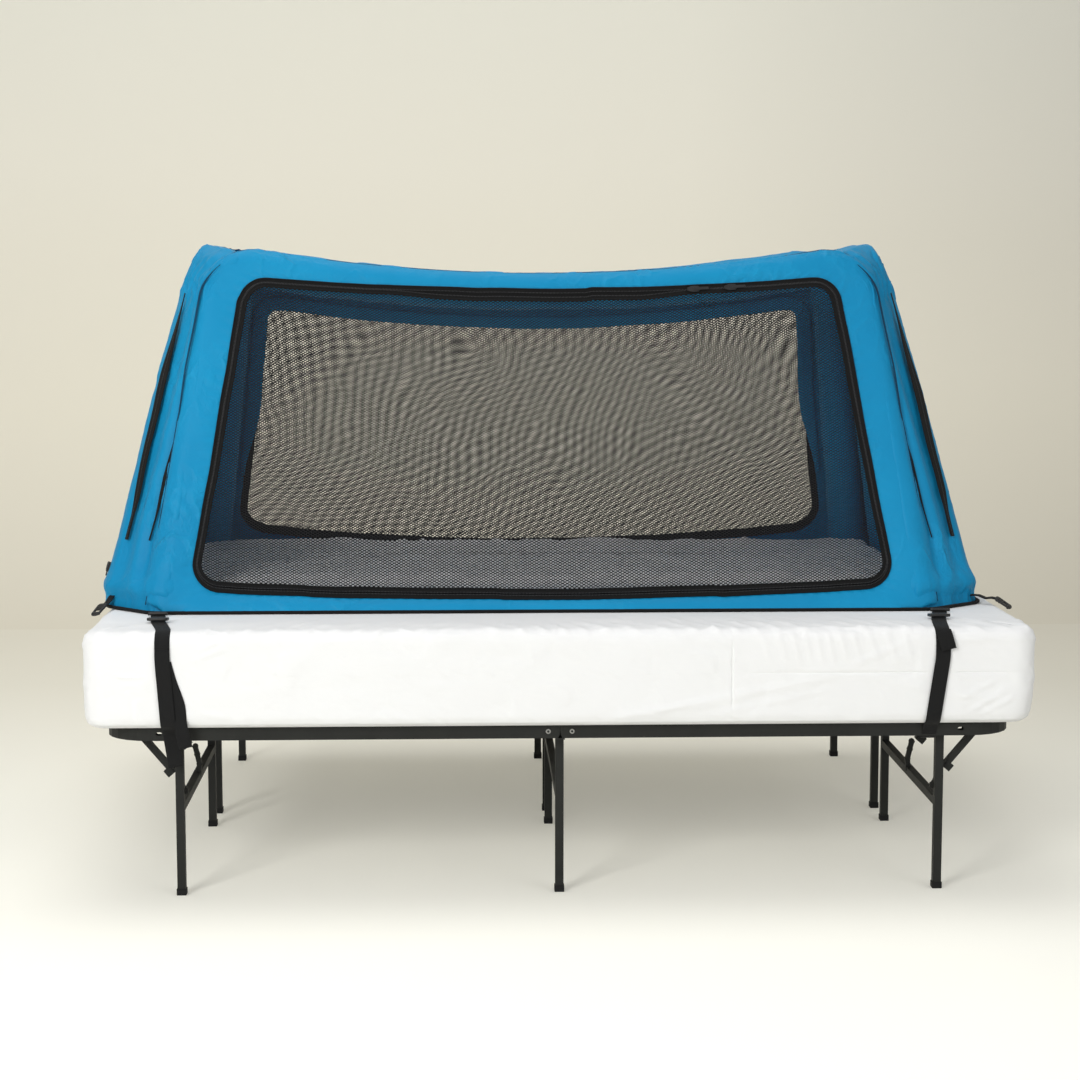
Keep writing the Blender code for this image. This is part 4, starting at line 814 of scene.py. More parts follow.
def arch_cover(name, axis, out, seed, squareness):
    """Puffed cover of one air beam, with two lengthwise seams, folds at the bends and tucked feet."""
    heading = headings(axis)
    side = unit(np.cross(heading, out))
    side *= np.sign(np.sum(side * (axis - axis.mean(axis=0)), axis=1).mean())
    normal = unit(np.cross(side, heading))
    normal *= np.sign(np.sum(normal * out, axis=-1).mean())
    angles = turns_of(56)
    square = 2.0 + squareness * smooth_step(1.25, 1.32, axis[:, 2])[:, None]
    bulk = (np.abs(np.cos(angles)) ** square + np.abs(np.sin(angles)) ** square) ** (-1 / square)
    radius = beam_radius(axis[:, 2])[:, None] * bulk
    ring = side[:, None, :] * np.cos(angles)[:, None] + normal[:, None, :] * np.sin(angles)[:, None]
    points = axis[:, None, :] + ring * radius[:, :, None]
    length = np.arange(len(axis)) * np.linalg.norm(axis[1] - axis[0])
    bend = np.linalg.norm(np.gradient(heading, axis=0), axis=1)
    bend = np.convolve(bend / bend.max(), np.hanning(17) / np.hanning(17).sum(), mode="same")[:, None]
    puff = 0.0020 * crinkle(points, seed, 0.18) + 0.0003 * crinkle(points, seed + 1, 0.04)
    puff += 0.0008 * folds(points, seed + 2, 0.12)
    for seam in np.radians((52, -118)):
        gap = np.abs(np.angle(np.exp(1j * (angles - seam)))) * radius
        pucker = np.sin(length * (TURN / 0.019) + 2.2 * np.sin(length * 9.0))[:, None]
        puff -= 0.0030 * bell(gap, 0.0035)
        puff += 0.0010 * pucker * bell(gap, 0.013)
    inside = np.clip(-np.cos(angles), 0, 1)
    gathers = np.sin(length * (TURN / 0.026) + 1.5 * np.sin(length * 21.0))[:, None]
    puff += 0.0040 * bend * inside * gathers + 0.0012 * bend * gathers
    outward = np.clip(ring @ out, 0, 1) + np.clip(np.cos(angles), 0, 1)
    puff += base_flare(axis[:, 2])[:, None] * np.clip(outward, 0, 1)
    points = points + ring * puff[:, :, None]
    for row in (0, -1):
        drop = (FOOT_Z - points[row, :, 2]) / heading[row, 2]
        points[row] += heading[row] * drop[:, None]
    points[..., 2] = np.maximum(points[..., 2], FOOT_Z)
    piece = cloth_grid(
        f"{name}_arch_cover", points, nylon, closed_columns=True, caps=True,
        replaces=(f"{name}_sleeve", f"{name}_air_tube"),
    )


def side_slope(sizes):
    """How much narrower an opening gets for each metre of height."""
    return (sizes["base"] - sizes["top"]) / (sizes["rise"] - OPENING_LOW)


def opening_corners(facing, inset, lift=0.0):
    """Rounded corners of the opening before its upper edge sags, starting at the lower right one."""
    sizes = OPENINGS[facing]
    low = FOOT_Z + OPENING_LOW + inset + lift
    high = FOOT_Z + sizes["rise"] - inset
    base = sizes["base"] - inset - lift * side_slope(sizes)
    top = sizes["top"] - inset
    corners = [(base, low), (top, high), (-top, high), (-base, low)]
    return fillet(corners, sizes["corner"] - inset, 12, closed=True)


def sagged(line, facing, high, low):
    """Points of an opening with its upper edge hanging, and the slight unevenness of sewn edges."""
    sizes = OPENINGS[facing]
    line = np.array(line, float)
    hang = np.clip(1 - (line[..., 0] / (sizes["top"] - sizes["corner"])) ** 2, 0, None)
    line[..., 1] -= sizes["sag"] * hang * smooth_step(low, high - 0.01, line[..., 1])
    low_edge = 1 - smooth_step(FOOT_Z + OPENING_LOW, FOOT_Z + OPENING_LOW + 0.30, line[..., 1])
    line[..., 1] += sizes["belly"] * (line[..., 0] / sizes["base"]) ** 2 * low_edge
    outward = unit(line - np.array([0.0, 0.95]))
    return line + outward * (0.0022 * crinkle(line, 90 + facing, 0.30))[..., None]


def opening_line(facing, inset, lift=0.0, spacing=0.006, count=None):
    """Closed outline of the door or window in (across, height)."""
    corners = opening_corners(facing, inset, lift)
    high = corners[:, 1].max()
    line = sagged(resample(corners, 0.006, closed=True), facing, high, high - 0.10)
    return resample(line, spacing, closed=True, count=count)


def slack_dip(line, dip):
    """How far the door's inner half hangs where its zip is open, between the corner and the sliders."""
    along = line[..., 0]
    hang = smooth_step(-0.36, -0.20, along) * (1 - smooth_step(0.22, 0.35, along))
    return dip * hang * smooth_step(FOOT_Z + 0.25, FOOT_Z + 0.62, line[..., 1])


def zip_loop(name, facing, outer, body="root", replaces=(), dip=0.0):
    """One half of a zip: its tape, the piping along it and the coil's teeth; a wider backing if outer."""
    out = wall_out(facing)
    inset, lift = (0.0, 0.0) if outer else (ZIP_WIDTH + 0.0003, OPENING_LIFT)

    def loop(place, proud, tucked=0.0):
        """The outline at a place across the tape; tucked moves its lower run inwards."""
        line = opening_line(facing, inset + place, lift, 0.007)
        line[:, 1] -= slack_dip(line, dip)
        low = 1 - smooth_step(FOOT_Z + 0.07, FOOT_Z + 0.14, line[:, 1])
        return on_wall(line[:, 0], line[:, 1], facing, OPENING_PROUD + proud - tucked * low)

    middle = loop(ZIP_WIDTH / 2, 0.0)
    path_band(
        name, middle, out, ZIP_WIDTH, ZIP_THICKNESS, tape, closed=True, body=body, replaces=replaces
    )
    if outer:
        backing = loop(0.0110, -0.0017, 0.0038)
        path_band(name + "_backing", backing, out, BACKING_WIDTH, 0.0007, tape, closed=True)
    piping = loop(0.0012 if outer else ZIP_WIDTH - 0.0008, 0.0006)
    round_tube(name + "_piping", piping, 0.0019, tape, closed=True, body=body)
    coil = loop(ZIP_WIDTH - 0.0006 if outer else 0.0008, 0.0011)
    repeat_on_path(name + "_teeth", [(coil, out, True)], TOOTH_SPACING, ZIP_TOOTH, coil_plastic, body)


def net_panel(name, facing, dip):
    """Netting of the door or window, bellied and rippled, its mesh drawn a little out of line."""
    right = opening_corners(facing, 1.6 * ZIP_WIDTH, OPENING_LIFT)[:26]
    low, high = right[0, 1], right[-1, 1]
    heights = np.concatenate([right[:, 1], np.linspace(right[12, 1], right[13, 1], 44)[1:-1]])
    heights = np.sort(heights)[:, None]
    half = np.interp(heights, right[:, 1], right[:, 0])
    cut = together(np.linspace(-1, 1, 132) * half, heights)
    flat = sagged(cut, facing, high, low + 0.25)
    flat[..., 1] -= slack_dip(flat, dip)
    edge = np.minimum((half - np.abs(cut[..., 0])), np.minimum(heights - low, high - heights))
    ease = smooth_step(0.0, 0.06, edge)
    rippled = 0.0050 * crinkle(cut, 70 + facing, 0.40, warp=1.2) + 0.0006 * crinkle(cut, 80, 0.12)
    points = on_wall(flat[..., 0], flat[..., 1], facing, OPENING_PROUD + rippled * ease)
    drawn = together(crinkle(cut, 75 + facing, 0.26), crinkle(cut, 85 + facing, 0.21))
    cos, sin = math.cos(NET_GRAIN[facing]), math.sin(NET_GRAIN[facing])
    turned = cut @ np.array([[cos, -sin], [sin, cos]])
    piece = cloth_grid(
        f"{name}_netting", points, net, flat=turned + 0.0010 * drawn, body=name,
        replaces=(f"{name}_mesh",),
    )
    round(grid_area(points), 3)


def across_line(line):
    """Direction to the outer side of a polyline in (across, height), at each of its points."""
    heading = headings(line)
    return np.stack([-heading[:, 1], heading[:, 0]], axis=1)


def wall_strip(name, facing, seed, replaces):
    """Fabric from the zip over the air beam to its seam, and down to the binding under the zip."""
    inner = opening_line(facing, 0.0012, count=760)
    centre = np.array([0.0, 0.93])
    rim = resample(np.vstack([SIDE_LINE, SIDE_LINE[:1]]), 0.004)
    angle = np.unwrap(np.arctan2(*(rim - centre).T))
    turn = np.arctan2(*(inner - centre).T)

    def beside(values):
        """Values of the beam's line in the direction of each point of the zip."""
        return together(*(np.interp(turn, angle, column, period=TURN) for column in values.T))

    outer = beside(rim)
    beyond = unit(beside(across_line(rim)))
    base = 1 - smooth_step(0.80, 0.835, np.abs(outer[:, 0]))
    base *= outer[:, 1] < FOOT_Z + 0.05
    radius = beam_radius(outer[:, 1])
    start = OPENING_PROUD - 0.002
    rows = []
    for share in np.linspace(0, 1, 8):
        proud = start + (radius + 0.0025 - start) * math.sin(share * math.pi / 2)
        rows.append((inner + (outer - inner) * share, proud))
    for turned in np.radians((10, 20, 30, 40, 48, 52)):
        bulk = radius + (0.0022 if turned < 0.85 else -0.0012)
        rows.append((outer + beyond * (bulk * math.sin(turned))[:, None], bulk * math.cos(turned)))
    shares = np.linspace(0, 1, len(rows))
    down = []
    for share in shares:
        proud = start + 0.0150 * share + 0.004 * math.sin(math.pi * share)
        height = inner[:, 1] - (inner[:, 1] - FOOT_Z + 0.016) * share
        across = inner[:, 0] + (outer[:, 0] - inner[:, 0]) * share
        down.append((together(across, height), proud))
    flat = np.stack([a * (1 - base)[:, None] + b * base[:, None] for (a, _), (b, _) in zip(rows, down)])
    proud = np.stack([a * (1 - base) + b * base for (_, a), (_, b) in zip(rows, down)])
    points = on_wall(flat[..., 0], flat[..., 1], facing, proud)
    along = np.cumsum(np.linalg.norm(inner - np.roll(inner, 1, axis=0), axis=1))
    share = shares[:, None]
    ease = np.minimum(np.minimum(share * 5, (1 - share) * 5), 1.0)
    ripple = 0.0014 * crinkle(points, seed, 0.16) + 0.0003 * crinkle(points, seed + 1, 0.035)
    ripple += 0.0009 * folds(points, seed + 2, 0.09)
    pucker = np.sin(along * (TURN / 0.024) + 2.0 * np.sin(along * 7.0)) * bell(share - 0.10, 0.13)
    points = points + wall_out(facing) * (ripple * ease + 0.0010 * pucker)[..., None]
    points[..., 2] = np.maximum(points[..., 2], BINDING_Z - 0.001)
    piece = cloth_grid(
        f"{name}_wall", points, nylon, closed_columns=True, flat=points[..., [0, 2]], replaces=replaces
    )
    long = float(along[-1])
    wide = grid_area(points, closed_columns=True) / long


def beam_seam(name, facing):
    """Felled seam where the wall's fabric meets the beam's cover, above its crest and down both legs,
    coloured dark navy as painted shade in its groove.
    """
    line = resample(SIDE_LINE, 0.006)
    away = across_line(line)
    turned = math.radians(51) + 0.0016 * crinkle(line, 97 + facing, 0.055) / 0.045
    radius = beam_radius(line[:, 1]) + 0.0012
    flat = line + away * (radius * np.sin(turned))[:, None]
    points = on_wall(flat[:, 0], flat[:, 1], facing, radius * np.cos(turned))
    outside = together(away[:, 0], 0.0, away[:, 1])
    out = unit(wall_out(facing) * np.cos(turned)[:, None] + outside * np.sin(turned)[:, None])
    keep = points[:, 2] > FOOT_Z + 0.012
    # Painted shade: the seam is drawn darker than the blue fabric that it joins.
    path_band(f"{name}_beam_seam", points[keep], out[keep], 0.0030, 0.0022, crease_and_seam_shade)


def window_flap():
    """Blue flap sewn over the window's zip on the inner side, along its top and upper sides."""
    sizes = OPENINGS[1]
    high = FOOT_Z + sizes["rise"]
    low = FOOT_Z + 0.20
    slope = side_slope(sizes)
    edges = []
    for inset, radius in ((-0.008, 0.060), (0.027, 0.022)):
        half = sizes["top"] - inset
        foot = half + slope * (high - inset - low)
        corners = [(-foot, low), (-half, high - inset), (half, high - inset), (foot, low)]
        edges.append(resample(fillet(corners, radius, 10), count=260))
    share = np.linspace(0, 1, 7)[:, None, None]
    narrow = smooth_step(low, low + 0.22, edges[0][:, 1])[:, None]
    ragged = 1 + 0.03 * crinkle(edges[0], 95, 0.20)[:, None]
    flat = edges[0] + (edges[1] - edges[0]) * share * (0.30 + 0.70 * narrow) * ragged
    flat = sagged(flat, 1, high, high - 0.10)
    inward = 0.0048 + 0.0012 * np.sin(3 * share[..., 0])
    points = on_wall(flat[..., 0], flat[..., 1], 1, OPENING_PROUD - inward)
    piece = cloth_grid("window_flap", points, nylon)
    area = grid_area(points)
    thicken(piece, 0.0007)


def grid_area(points, closed_columns=False):
    """Area of a grid of points."""
    if closed_columns:
        points = np.concatenate([points, points[:, :1]], axis=1)
    sides = points[1:, :-1] - points[:-1, :-1], points[:-1, 1:] - points[:-1, :-1]
    back = points[:-1, 1:] - points[1:, 1:], points[1:, :-1] - points[1:, 1:]
    halves = np.linalg.norm(np.cross(*sides), axis=-1) + np.linalg.norm(np.cross(*back), axis=-1)
    return float(halves.sum() / 2)


def between_rims(q, fade):
    """1 on a corner's fabric, falling to 0 at its two sewn rims."""
    return smooth_step(-1.0, fade - 1.0, q) * smooth_step(2.0, 2.0 - fade, q)


def crease_place(z):
    """Where the deep crease of a corner lies across its two beams, at a height."""
    return np.interp(z, (0.72, 0.90, 1.02, 1.16, 1.34), (0.30, 0.12, -0.02, -0.22, -0.50))


class Corner:
    """The fabric over one corner, from the side's beam (place 0) across to the end's beam (place 1)."""

    def __init__(self, end, facing):
        count = 130
        first = side_axis(facing, 0.004)
        second = end_axis(end, 0.004)
        if end > 0:
            first = first[::-1]
        if facing > 0:
            second = second[::-1]
        lines = []
        for line in (first, second):
            heading = headings(line)
            turned = np.degrees(np.arccos(np.clip(heading @ heading[0], -1, 1)))
            stop = int(np.argmax(turned > 66))
            lines.append(resample(line[:stop], count=count))
        self.first, self.second = lines
        self.share = np.linspace(0, 1, count)
        self.across = unit(self.second - self.first)
        heading = unit(headings(self.first) + headings(self.second))
        out = unit(np.cross(heading, self.across))
        self.out = out * np.sign(out[0] @ np.array([end, facing, 0.0]))

    def at(self, t, q):
        """Points and outward directions at shares t of the height and places q across the two beams."""
        t, q = np.broadcast_arrays(np.asarray(t, float), np.asarray(q, float))

        def pick(values):
            return together(*(np.interp(t, self.share, column) for column in values.T))

        first, second = pick(self.first), pick(self.second)
        across, out = unit(pick(self.across)), unit(pick(self.out))
        between = np.clip(q, 0, 1)[..., None]
        centre = first + (second - first) * between
        height = centre[..., 2]
        turn = np.clip(q, -1, 0) * math.radians(60) + np.clip(q - 1, 0, 1) * math.radians(70)
        direction = out * np.cos(turn)[..., None] + across * np.sin(turn)[..., None]
        proud = -0.0025 + 0.0055 * between_rims(q, 0.3) + base_flare(height) * between_rims(q, 0.5)
        lower = smooth_step(0.60, 0.68, height) * smooth_step(-0.15, 0.10, q) * smooth_step(1.15, 0.90, q)
        off = q - crease_place(height)
        valley = 0.0120 * bell(off, 0.13) + 0.0050 * bell(off - 0.52, 0.16)
        valley -= 0.0040 * bell(off - 0.25, 0.14)
        rise = beam_radius(height) + proud - valley * lower
        return centre + direction * rise[..., None], direction

    def height_share(self, z):
        return np.interp(z, self.first[:, 2], self.share)


def corner_cover(name, corner, seed):
    """Blue fabric of a corner with its creases, gathers at the knot and wrinkles over the binding."""
    t = np.linspace(0, 1, 170)[:, None]
    q = np.concatenate([np.linspace(-1, 0, 15)[:-1], np.linspace(0, 1, 22), np.linspace(1, 2, 17)[1:]])
    points, out = corner.at(t, q)
    puff = 0.0014 * crinkle(points, seed, 0.14) + 0.0003 * crinkle(points, seed + 1, 0.045)
    knot = 0.35 + 2.0 * smooth_step(0.80, 0.90, t) + 2.2 * (1 - smooth_step(0.03, 0.12, t))
    puff += 0.0016 * knot * folds(points, seed + 2, 0.060)
    puff += 0.0032 * bell(t - 0.90, 0.05) * np.sin(q * 21 + 1.5 * np.sin(t * 60))
    puff += 0.0012 * bell(t, 0.05) * np.sin(q * 15 + 2 * np.sin(q * 5))
    points = points + out * (puff * between_rims(q, 0.25))[..., None]
    down = unit(headings(corner.first)[0] + headings(corner.second)[0])
    points[0] += down * ((FOOT_Z - 0.0005 - points[0, :, 2]) / down[2])[:, None]
    points[..., 2] = np.maximum(points[..., 2], FOOT_Z - 0.0005)
    piece = cloth_grid(name, points, nylon)
    long = float(run_lengths(points, 0, False)[-1])
    round(grid_area(points) / long, 3)


def corner_stripe(name, corner, places, width, seed, look):
    """Tape, or a stripe of painted shade in a crease, on a corner through given (height, place across)
    pairs, widening and then pointed.
    """
    heights, across = zip(*places)
    z = np.linspace(heights[0], heights[-1], 90)
    q = np.interp(z, heights, across) + 0.012 * np.sin(z * 31 + seed)
    line, out = corner.at(corner.height_share(z), q)
    line = line + out * (0.0062 + 0.12 * width)
    side = unit(np.cross(headings(line), out))
    share = np.clip((heights[-1] - z) / (9 * width), 0.10, 1) * np.clip((z - heights[0]) / 0.10, 0.55, 1)
    share *= 1 + 0.8 * smooth_step(heights[0], heights[-1], z)
    side = side * (width * share)[:, None]
    sweep(name, line, side, out * 0.011, tape_profile(1.0, 0.16), look)
    return line + out * 0.0010, out


def binding_path():
    """Outline of the floor just outside the covers' feet, in order round the bed."""
    ring = []
    for x, y, order in ((1, -1, 1), (1, 1, -1), (-1, 1, 1), (-1, -1, -1)):
        end_foot = (END_BASE[0] - (0.018 if x < 0 else 0.004), END_BASE[1])
        ring += [(x * foot[0], y * foot[1]) for foot in (SIDE_BASE, end_foot)[::order]]
    ring = np.array(ring)
    along = unit(np.roll(ring, -1, axis=0) - ring)
    after = np.stack([along[:, 1], -along[:, 0]], axis=1)
    before = np.roll(after, 1, axis=0)
    turns = np.linspace(0, 1, 7)[:, None]
    reach = BASE_RADIUS + BINDING_MARGIN
    path = [at + reach * unit(a * (1 - turns) + b * turns) for at, a, b in zip(ring, before, after)]
    return resample(np.vstack(path), 0.008, closed=True) + np.array([MIDDLE_X, 0.0])


# Mattress


def slab_rows():
    """Cross-section of the outer mattress from the middle of its underside to the middle of its top."""
    radius = 0.028
    under = (
        0.760, 0.742, 0.735, 0.728, 0.715, 0.70, 0.60, 0.40, 0.20, 0.085, 0.075, 0.066, 0.058, 0.046,
        0.034,
    )
    over = (
        0.034, 0.042, 0.052, 0.064, 0.078, 0.095, 0.115, 0.14, 0.17, 0.21, 0.26, 0.33, 0.42, 0.52, 0.62,
        0.70, 0.745, 0.760,
    )
    low, high = MATTRESS_LOW + radius, MATTRESS_TOP - radius
    turns = np.radians(np.arange(0, 91, 7.5))
    seam = SEAM_Z + np.array([-3, -1.5, 0, 1.5, 3]) * 0.001
    levels = np.sort(np.concatenate([np.linspace(low, high, 30)[1:-1], seam]))
    rows = [(inset, MATTRESS_LOW) for inset in under]
    rows += [(radius * (1 - math.sin(a)), MATTRESS_LOW + radius * (1 - math.cos(a))) for a in turns]
    rows += [(0.0, z) for z in levels]
    rows += [(radius * (1 - math.cos(a)), high + radius * math.sin(a)) for a in turns]
    return rows + [(inset, MATTRESS_TOP) for inset in over]


def rounded_ring(half_x, half_y, inset, corner, sides):
    """Rounded rectangle from the right side round; sides gives the places on each, from -1 to 1."""
    result = []
    beyond = max(inset - corner, 0.0)
    radius = max(corner - inset, 0.0)
    for k, places in enumerate(sides):
        turn = math.pi / 2 * k
        reach, length = (half_x, half_y) if k % 2 == 0 else (half_y, half_x)
        middle = (reach - corner - beyond, length - corner - beyond)
        local = [(reach - inset, place * middle[1]) for place in places]
        local += [
            (middle[0] + radius * math.cos(a), middle[1] + radius * math.sin(a))
            for a in np.linspace(0, math.pi / 2, 13)[:-1]
        ]
        for out, along in local:
            x = out * math.cos(turn) - along * math.sin(turn)
            result.append((x, out * math.sin(turn) + along * math.cos(turn)))
    return np.array(result)


def slab_points(rows, half, corner, sides):
    """One rounded ring of points for each (inset, height) of a slab's cross-section."""
    rings = [rounded_ring(*half, inset, corner, sides) for inset, _ in rows]
    return np.stack([np.column_stack([ring, np.full(len(ring), z)]) for ring, (_, z) in zip(rings, rows)])


def bump_line(u, v, start, end, width):
    """Height 0 to 1 of a straight fold from start to end, fading towards its ends."""
    start, end = np.array(start), np.array(end)
    run = end - start
    length = np.linalg.norm(run)
    run = run / length
    along = ((u - start[0]) * run[0] + (v - start[1]) * run[1]) / length
    off = (u - start[0]) * -run[1] + (v - start[1]) * run[0]
    ends = smooth_step(0.0, 0.25, along) * smooth_step(1.0, 0.75, along)
    return bell(off, width) * ends


def mattress_relief(points, out):
    """Outward movement of the cover: a welt at each edge, seams, pleats and pulled folds."""
    x, y, z = points[..., 0], points[..., 1], points[..., 2]
    side = smooth_step(0.5, 0.9, np.abs(out[..., 1]))
    front = side * (y < 0)
    back = side * (y > 0)
    end = smooth_step(0.5, 0.9, np.abs(out[..., 0]))
    top = smooth_step(0.5, 0.95, out[..., 2])
    relief = np.zeros(x.shape)
    for start, finish, width, height in FRONT_FOLDS:
        relief += front * height * bump_line(x, z, start, finish, width)
    pleat = np.maximum(0, np.sin((x + 0.28 * z) * TURN / 0.030 + 2.2 * np.sin(x * 23)))
    pleat *= smooth_step(0.40, 0.46, x) * smooth_step(0.80, 0.70, x) * smooth_step(0.500, 0.535, z)
    relief += front * 0.0013 * pleat
    across = np.where(end > 0.5, y, x)
    relief += (side + end) * 0.0010 * crinkle(together(across, z * 2.2), 201, 0.22)
    slant = folds(together(across * 0.7 + z, z - across * 0.2), 203, 0.09)
    relief += (back + end) * 0.0013 * slant + front * 0.0007 * slant
    edge = MATTRESS_HALF[1] - np.abs(y)
    fan = np.sin((x + np.sign(x + 0.2) * 0.55 * edge) * TURN / 0.052 + 1.8 * np.sin(x * 17))
    relief += top * 0.0016 * np.maximum(fan, 0) * smooth_step(0.16, 0.03, edge)
    wide = folds(points[..., :2] * np.array([1.0, 0.6]), 209, 0.10)
    relief += top * 0.0016 * wide * smooth_step(0.26, 0.12, edge)
    relief += top * 0.0009 * crinkle(points[..., :2], 207, 0.16) * smooth_step(0.22, 0.10, edge)
    relief *= FOLD_DEPTH
    for level, width in ((MATTRESS_LOW + 0.011, 0.0020), (MATTRESS_TOP - 0.012, 0.0022)):
        relief += (1 - top) * 0.0012 * bell(z - level, width)
    for place, half in PRESSED_BANDS:
        relief *= 1 - np.exp(-(((x - place) / half) ** 6)) * smooth_step(0.49, 0.52, np.abs(y))
    return relief


def mattress():
    """Foam mattress in its fitted cover, resting on the decks and lifted over their middle brackets."""
    rows = slab_rows()
    half_x, half_y = MATTRESS_HALF
    seam = (SEAM_FRONT_X + np.arange(-4, 5) * 0.0011) / (half_x - MATTRESS_CORNER)
    sides = [np.linspace(-1, 1, count)[:-1] for count in (100, 150, 100, 400)]
    sides[3] = np.sort(np.concatenate([sides[3], seam]))
    points = slab_points(rows, MATTRESS_HALF, MATTRESS_CORNER, sides)
    along_rows = np.gradient(points, axis=0)
    along_ring = np.roll(points, -1, axis=1) - np.roll(points, 1, axis=1)
    out = unit(np.cross(along_ring, along_rows))
    centre = np.array([0.0, 0.0, (MATTRESS_LOW + MATTRESS_TOP) / 2])
    out *= np.where(np.sum(out * (points - centre), axis=-1, keepdims=True) < 0, -1, 1)
    relief = mattress_relief(points, out)
    x, y, z = points[..., 0], points[..., 1], points[..., 2]
    ease = smooth_step(MATTRESS_LOW, MATTRESS_LOW + 0.012, z)
    points = points + out * (relief * ease)[..., None]
    pulled = smooth_step(0.10, 0.0, np.hypot(x - half_x, y + half_y)) * smooth_step(0.47, 0.38, z)
    points[..., :2] -= pulled[..., None] * 0.006 * np.sign(points[..., :2])
    pocket = np.maximum(*(1 - smooth_step(0.013, 0.020, np.abs(np.abs(y) - row)) for row in BRACKET_ROWS))
    pocket = pocket * (1 - smooth_step(0.060, 0.080, np.abs(x - SEAM_X)))
    points[..., 2] += BRACKET_LIFT * pocket * (z < MATTRESS_LOW + 0.004)
    replaced = ("mattress_cover", "mattress_core")
    piece = cloth_grid("mattress", points, cover, closed_columns=True, caps=True, replaces=replaced)


def thin_mattress():
    """Thin mattress inside the enclosure: soft rounded edges, shallow quilting hollows and lazy folds."""
    radius = PAD_HEIGHT / 2 - 0.001
    high = PAD_LOW + 2 * radius
    rows = [(inset, PAD_LOW) for inset in (0.36, 0.25, 0.12, 0.06)]
    for a in np.radians(np.arange(-90, 91, 15)):
        rows.append((radius * (1 - math.cos(a)), PAD_LOW + radius * (1 + math.sin(a))))
    rows += [(inset, high) for inset in (0.045, 0.06, 0.08, 0.11, 0.15, 0.20, 0.26, 0.32, 0.36)]
    sides = [np.linspace(-1, 1, count)[:-1] for count in (60, 140, 60, 140)]
    points = slab_points(rows, PAD_HALF, 0.060, sides)
    upper = smooth_step(PAD_LOW + radius, high, points[..., 2])
    wave = crinkle(points[..., :2] * np.array([1.0, 0.5]), 301, 0.24)
    fine = folds(points[..., :2] @ np.array([[1.0, 0.3], [-0.6, 0.8]]), 303, 0.20, 1.8)
    points[..., 2] -= upper * (0.006 + 0.006 * wave - 0.0070 * fine)
    edge = PAD_HALF[1] - np.abs(points[..., 1])
    points[..., 2] -= upper * 0.004 * bell(edge - 0.055, 0.02)
    points[..., 0] += MIDDLE_X
    piece = cloth_grid(
        "thin_mattress", points, quilt, closed_columns=True, caps=True, replaces=("inner_mattress",)
    )


# Sheets inside the frame of beams


def thicken(piece, thickness):
    """Give a sheet its thickness, equally to both sides."""
    shell = piece.modifiers.new("cloth_thickness", "SOLIDIFY")
    shell.thickness = thickness
    shell.offset = 0.0


def end_wall(name, end, seed):
    """Fabric wall between the legs of an end beam, drawn tight with a few slack folds."""
    heights = np.linspace(FOOT_Z, END_TOP_Z, 72)[:, None]
    leg = END_BASE[1] + (END_TOP[1] - END_BASE[1]) * (heights - FOOT_Z) / (END_TOP_Z - FOOT_Z)
    across = np.linspace(-1, 1, 61) * leg
    slack = 0.006 * crinkle(together(across, heights), seed, 0.26)
    slack = slack + 0.0030 * folds(together(across, heights * 0.6), seed + 1, 0.11)
    edge = smooth_step(0.0, 0.09, leg - np.abs(across)) * smooth_step(0.0, 0.06, heights - FOOT_Z)
    base = together(MIDDLE_X + end * end_reach(heights), across, heights)
    points = base + end_out(end) * (0.020 - 0.006 * edge + slack * edge)[..., None]
    points[..., 2] = np.maximum(points[..., 2], FOOT_Z + 0.0005)
    piece = cloth_grid(name, points, nylon, replaces=(name,))
    thicken(piece, 0.0008)
    round(grid_area(points), 3)


def roof_net():
    """Netting roof between the four beams, hanging a little in the middle."""
    u = np.linspace(-1, 1, 120)[None, :]
    v = np.linspace(-1, 1, 36)[:, None]
    across = u * ((SIDE_TOP[0] + END_TOP[0]) / 2 - 0.010)
    front = SIDE_TOP_Z - SIDE_SAG * np.clip(1 - (across / SIDE_TOP[0]) ** 2, 0, None)
    depth = side_depth(front) - 0.010
    y = v * (depth - smooth_step(0.80, 1.0, np.abs(u)) * (depth - END_TOP[1] - 0.02) * 0.9)
    hollow = (1 - v**4) * (1 - u**6)
    points = together(MIDDLE_X + across, y, front - 0.010 - 0.016 * hollow)
    plan = points[..., :2]
    points[..., 2] += 0.003 * crinkle(plan, 401, 0.25) * hollow
    drawn = together(crinkle(plan, 403, 0.26), crinkle(plan, 405, 0.2))
    piece = cloth_grid("roof_netting", points, net, flat=plan + 0.004 * drawn, replaces=("roof_mesh",))
    round(grid_area(points), 3)


def floor_and_binding():
    """Floor sheet on the mattress, and the corded binding round its edge."""
    path = binding_path()
    middle = path.mean(axis=0)
    shares = np.array([0.25, 0.5, 0.7, 0.85, 0.93, 0.97, 0.996])
    flat = middle + (path - middle)[None] * shares[:, None, None]
    points = np.concatenate([flat, np.full((*flat.shape[:2], 1), FLOOR_Z)], axis=-1)
    points[..., 2] += 0.0004 * crinkle(points[..., :2], 501, 0.2)
    faces, _ = grid_faces(*points.shape[:2], closed_columns=True)
    faces.append(list(range(points.shape[1]))[::-1])
    piece = mesh_piece(
        "floor_cloth", points.reshape(-1, 3), faces, nylon_floor, replaces=("floor_sheet",)
    )
    thicken(piece, 0.0006)
    inner_face = 0.11
    area = round(grid_area(points, True) + inner_face, 3)
    cord = np.column_stack([path, np.full(len(path), BINDING_Z)])
    replaced = ("base_binding",)
    round_tube("base_piping", cord, BINDING_RADIUS, tape, sides=10, closed=True, replaces=replaced)


# Straps


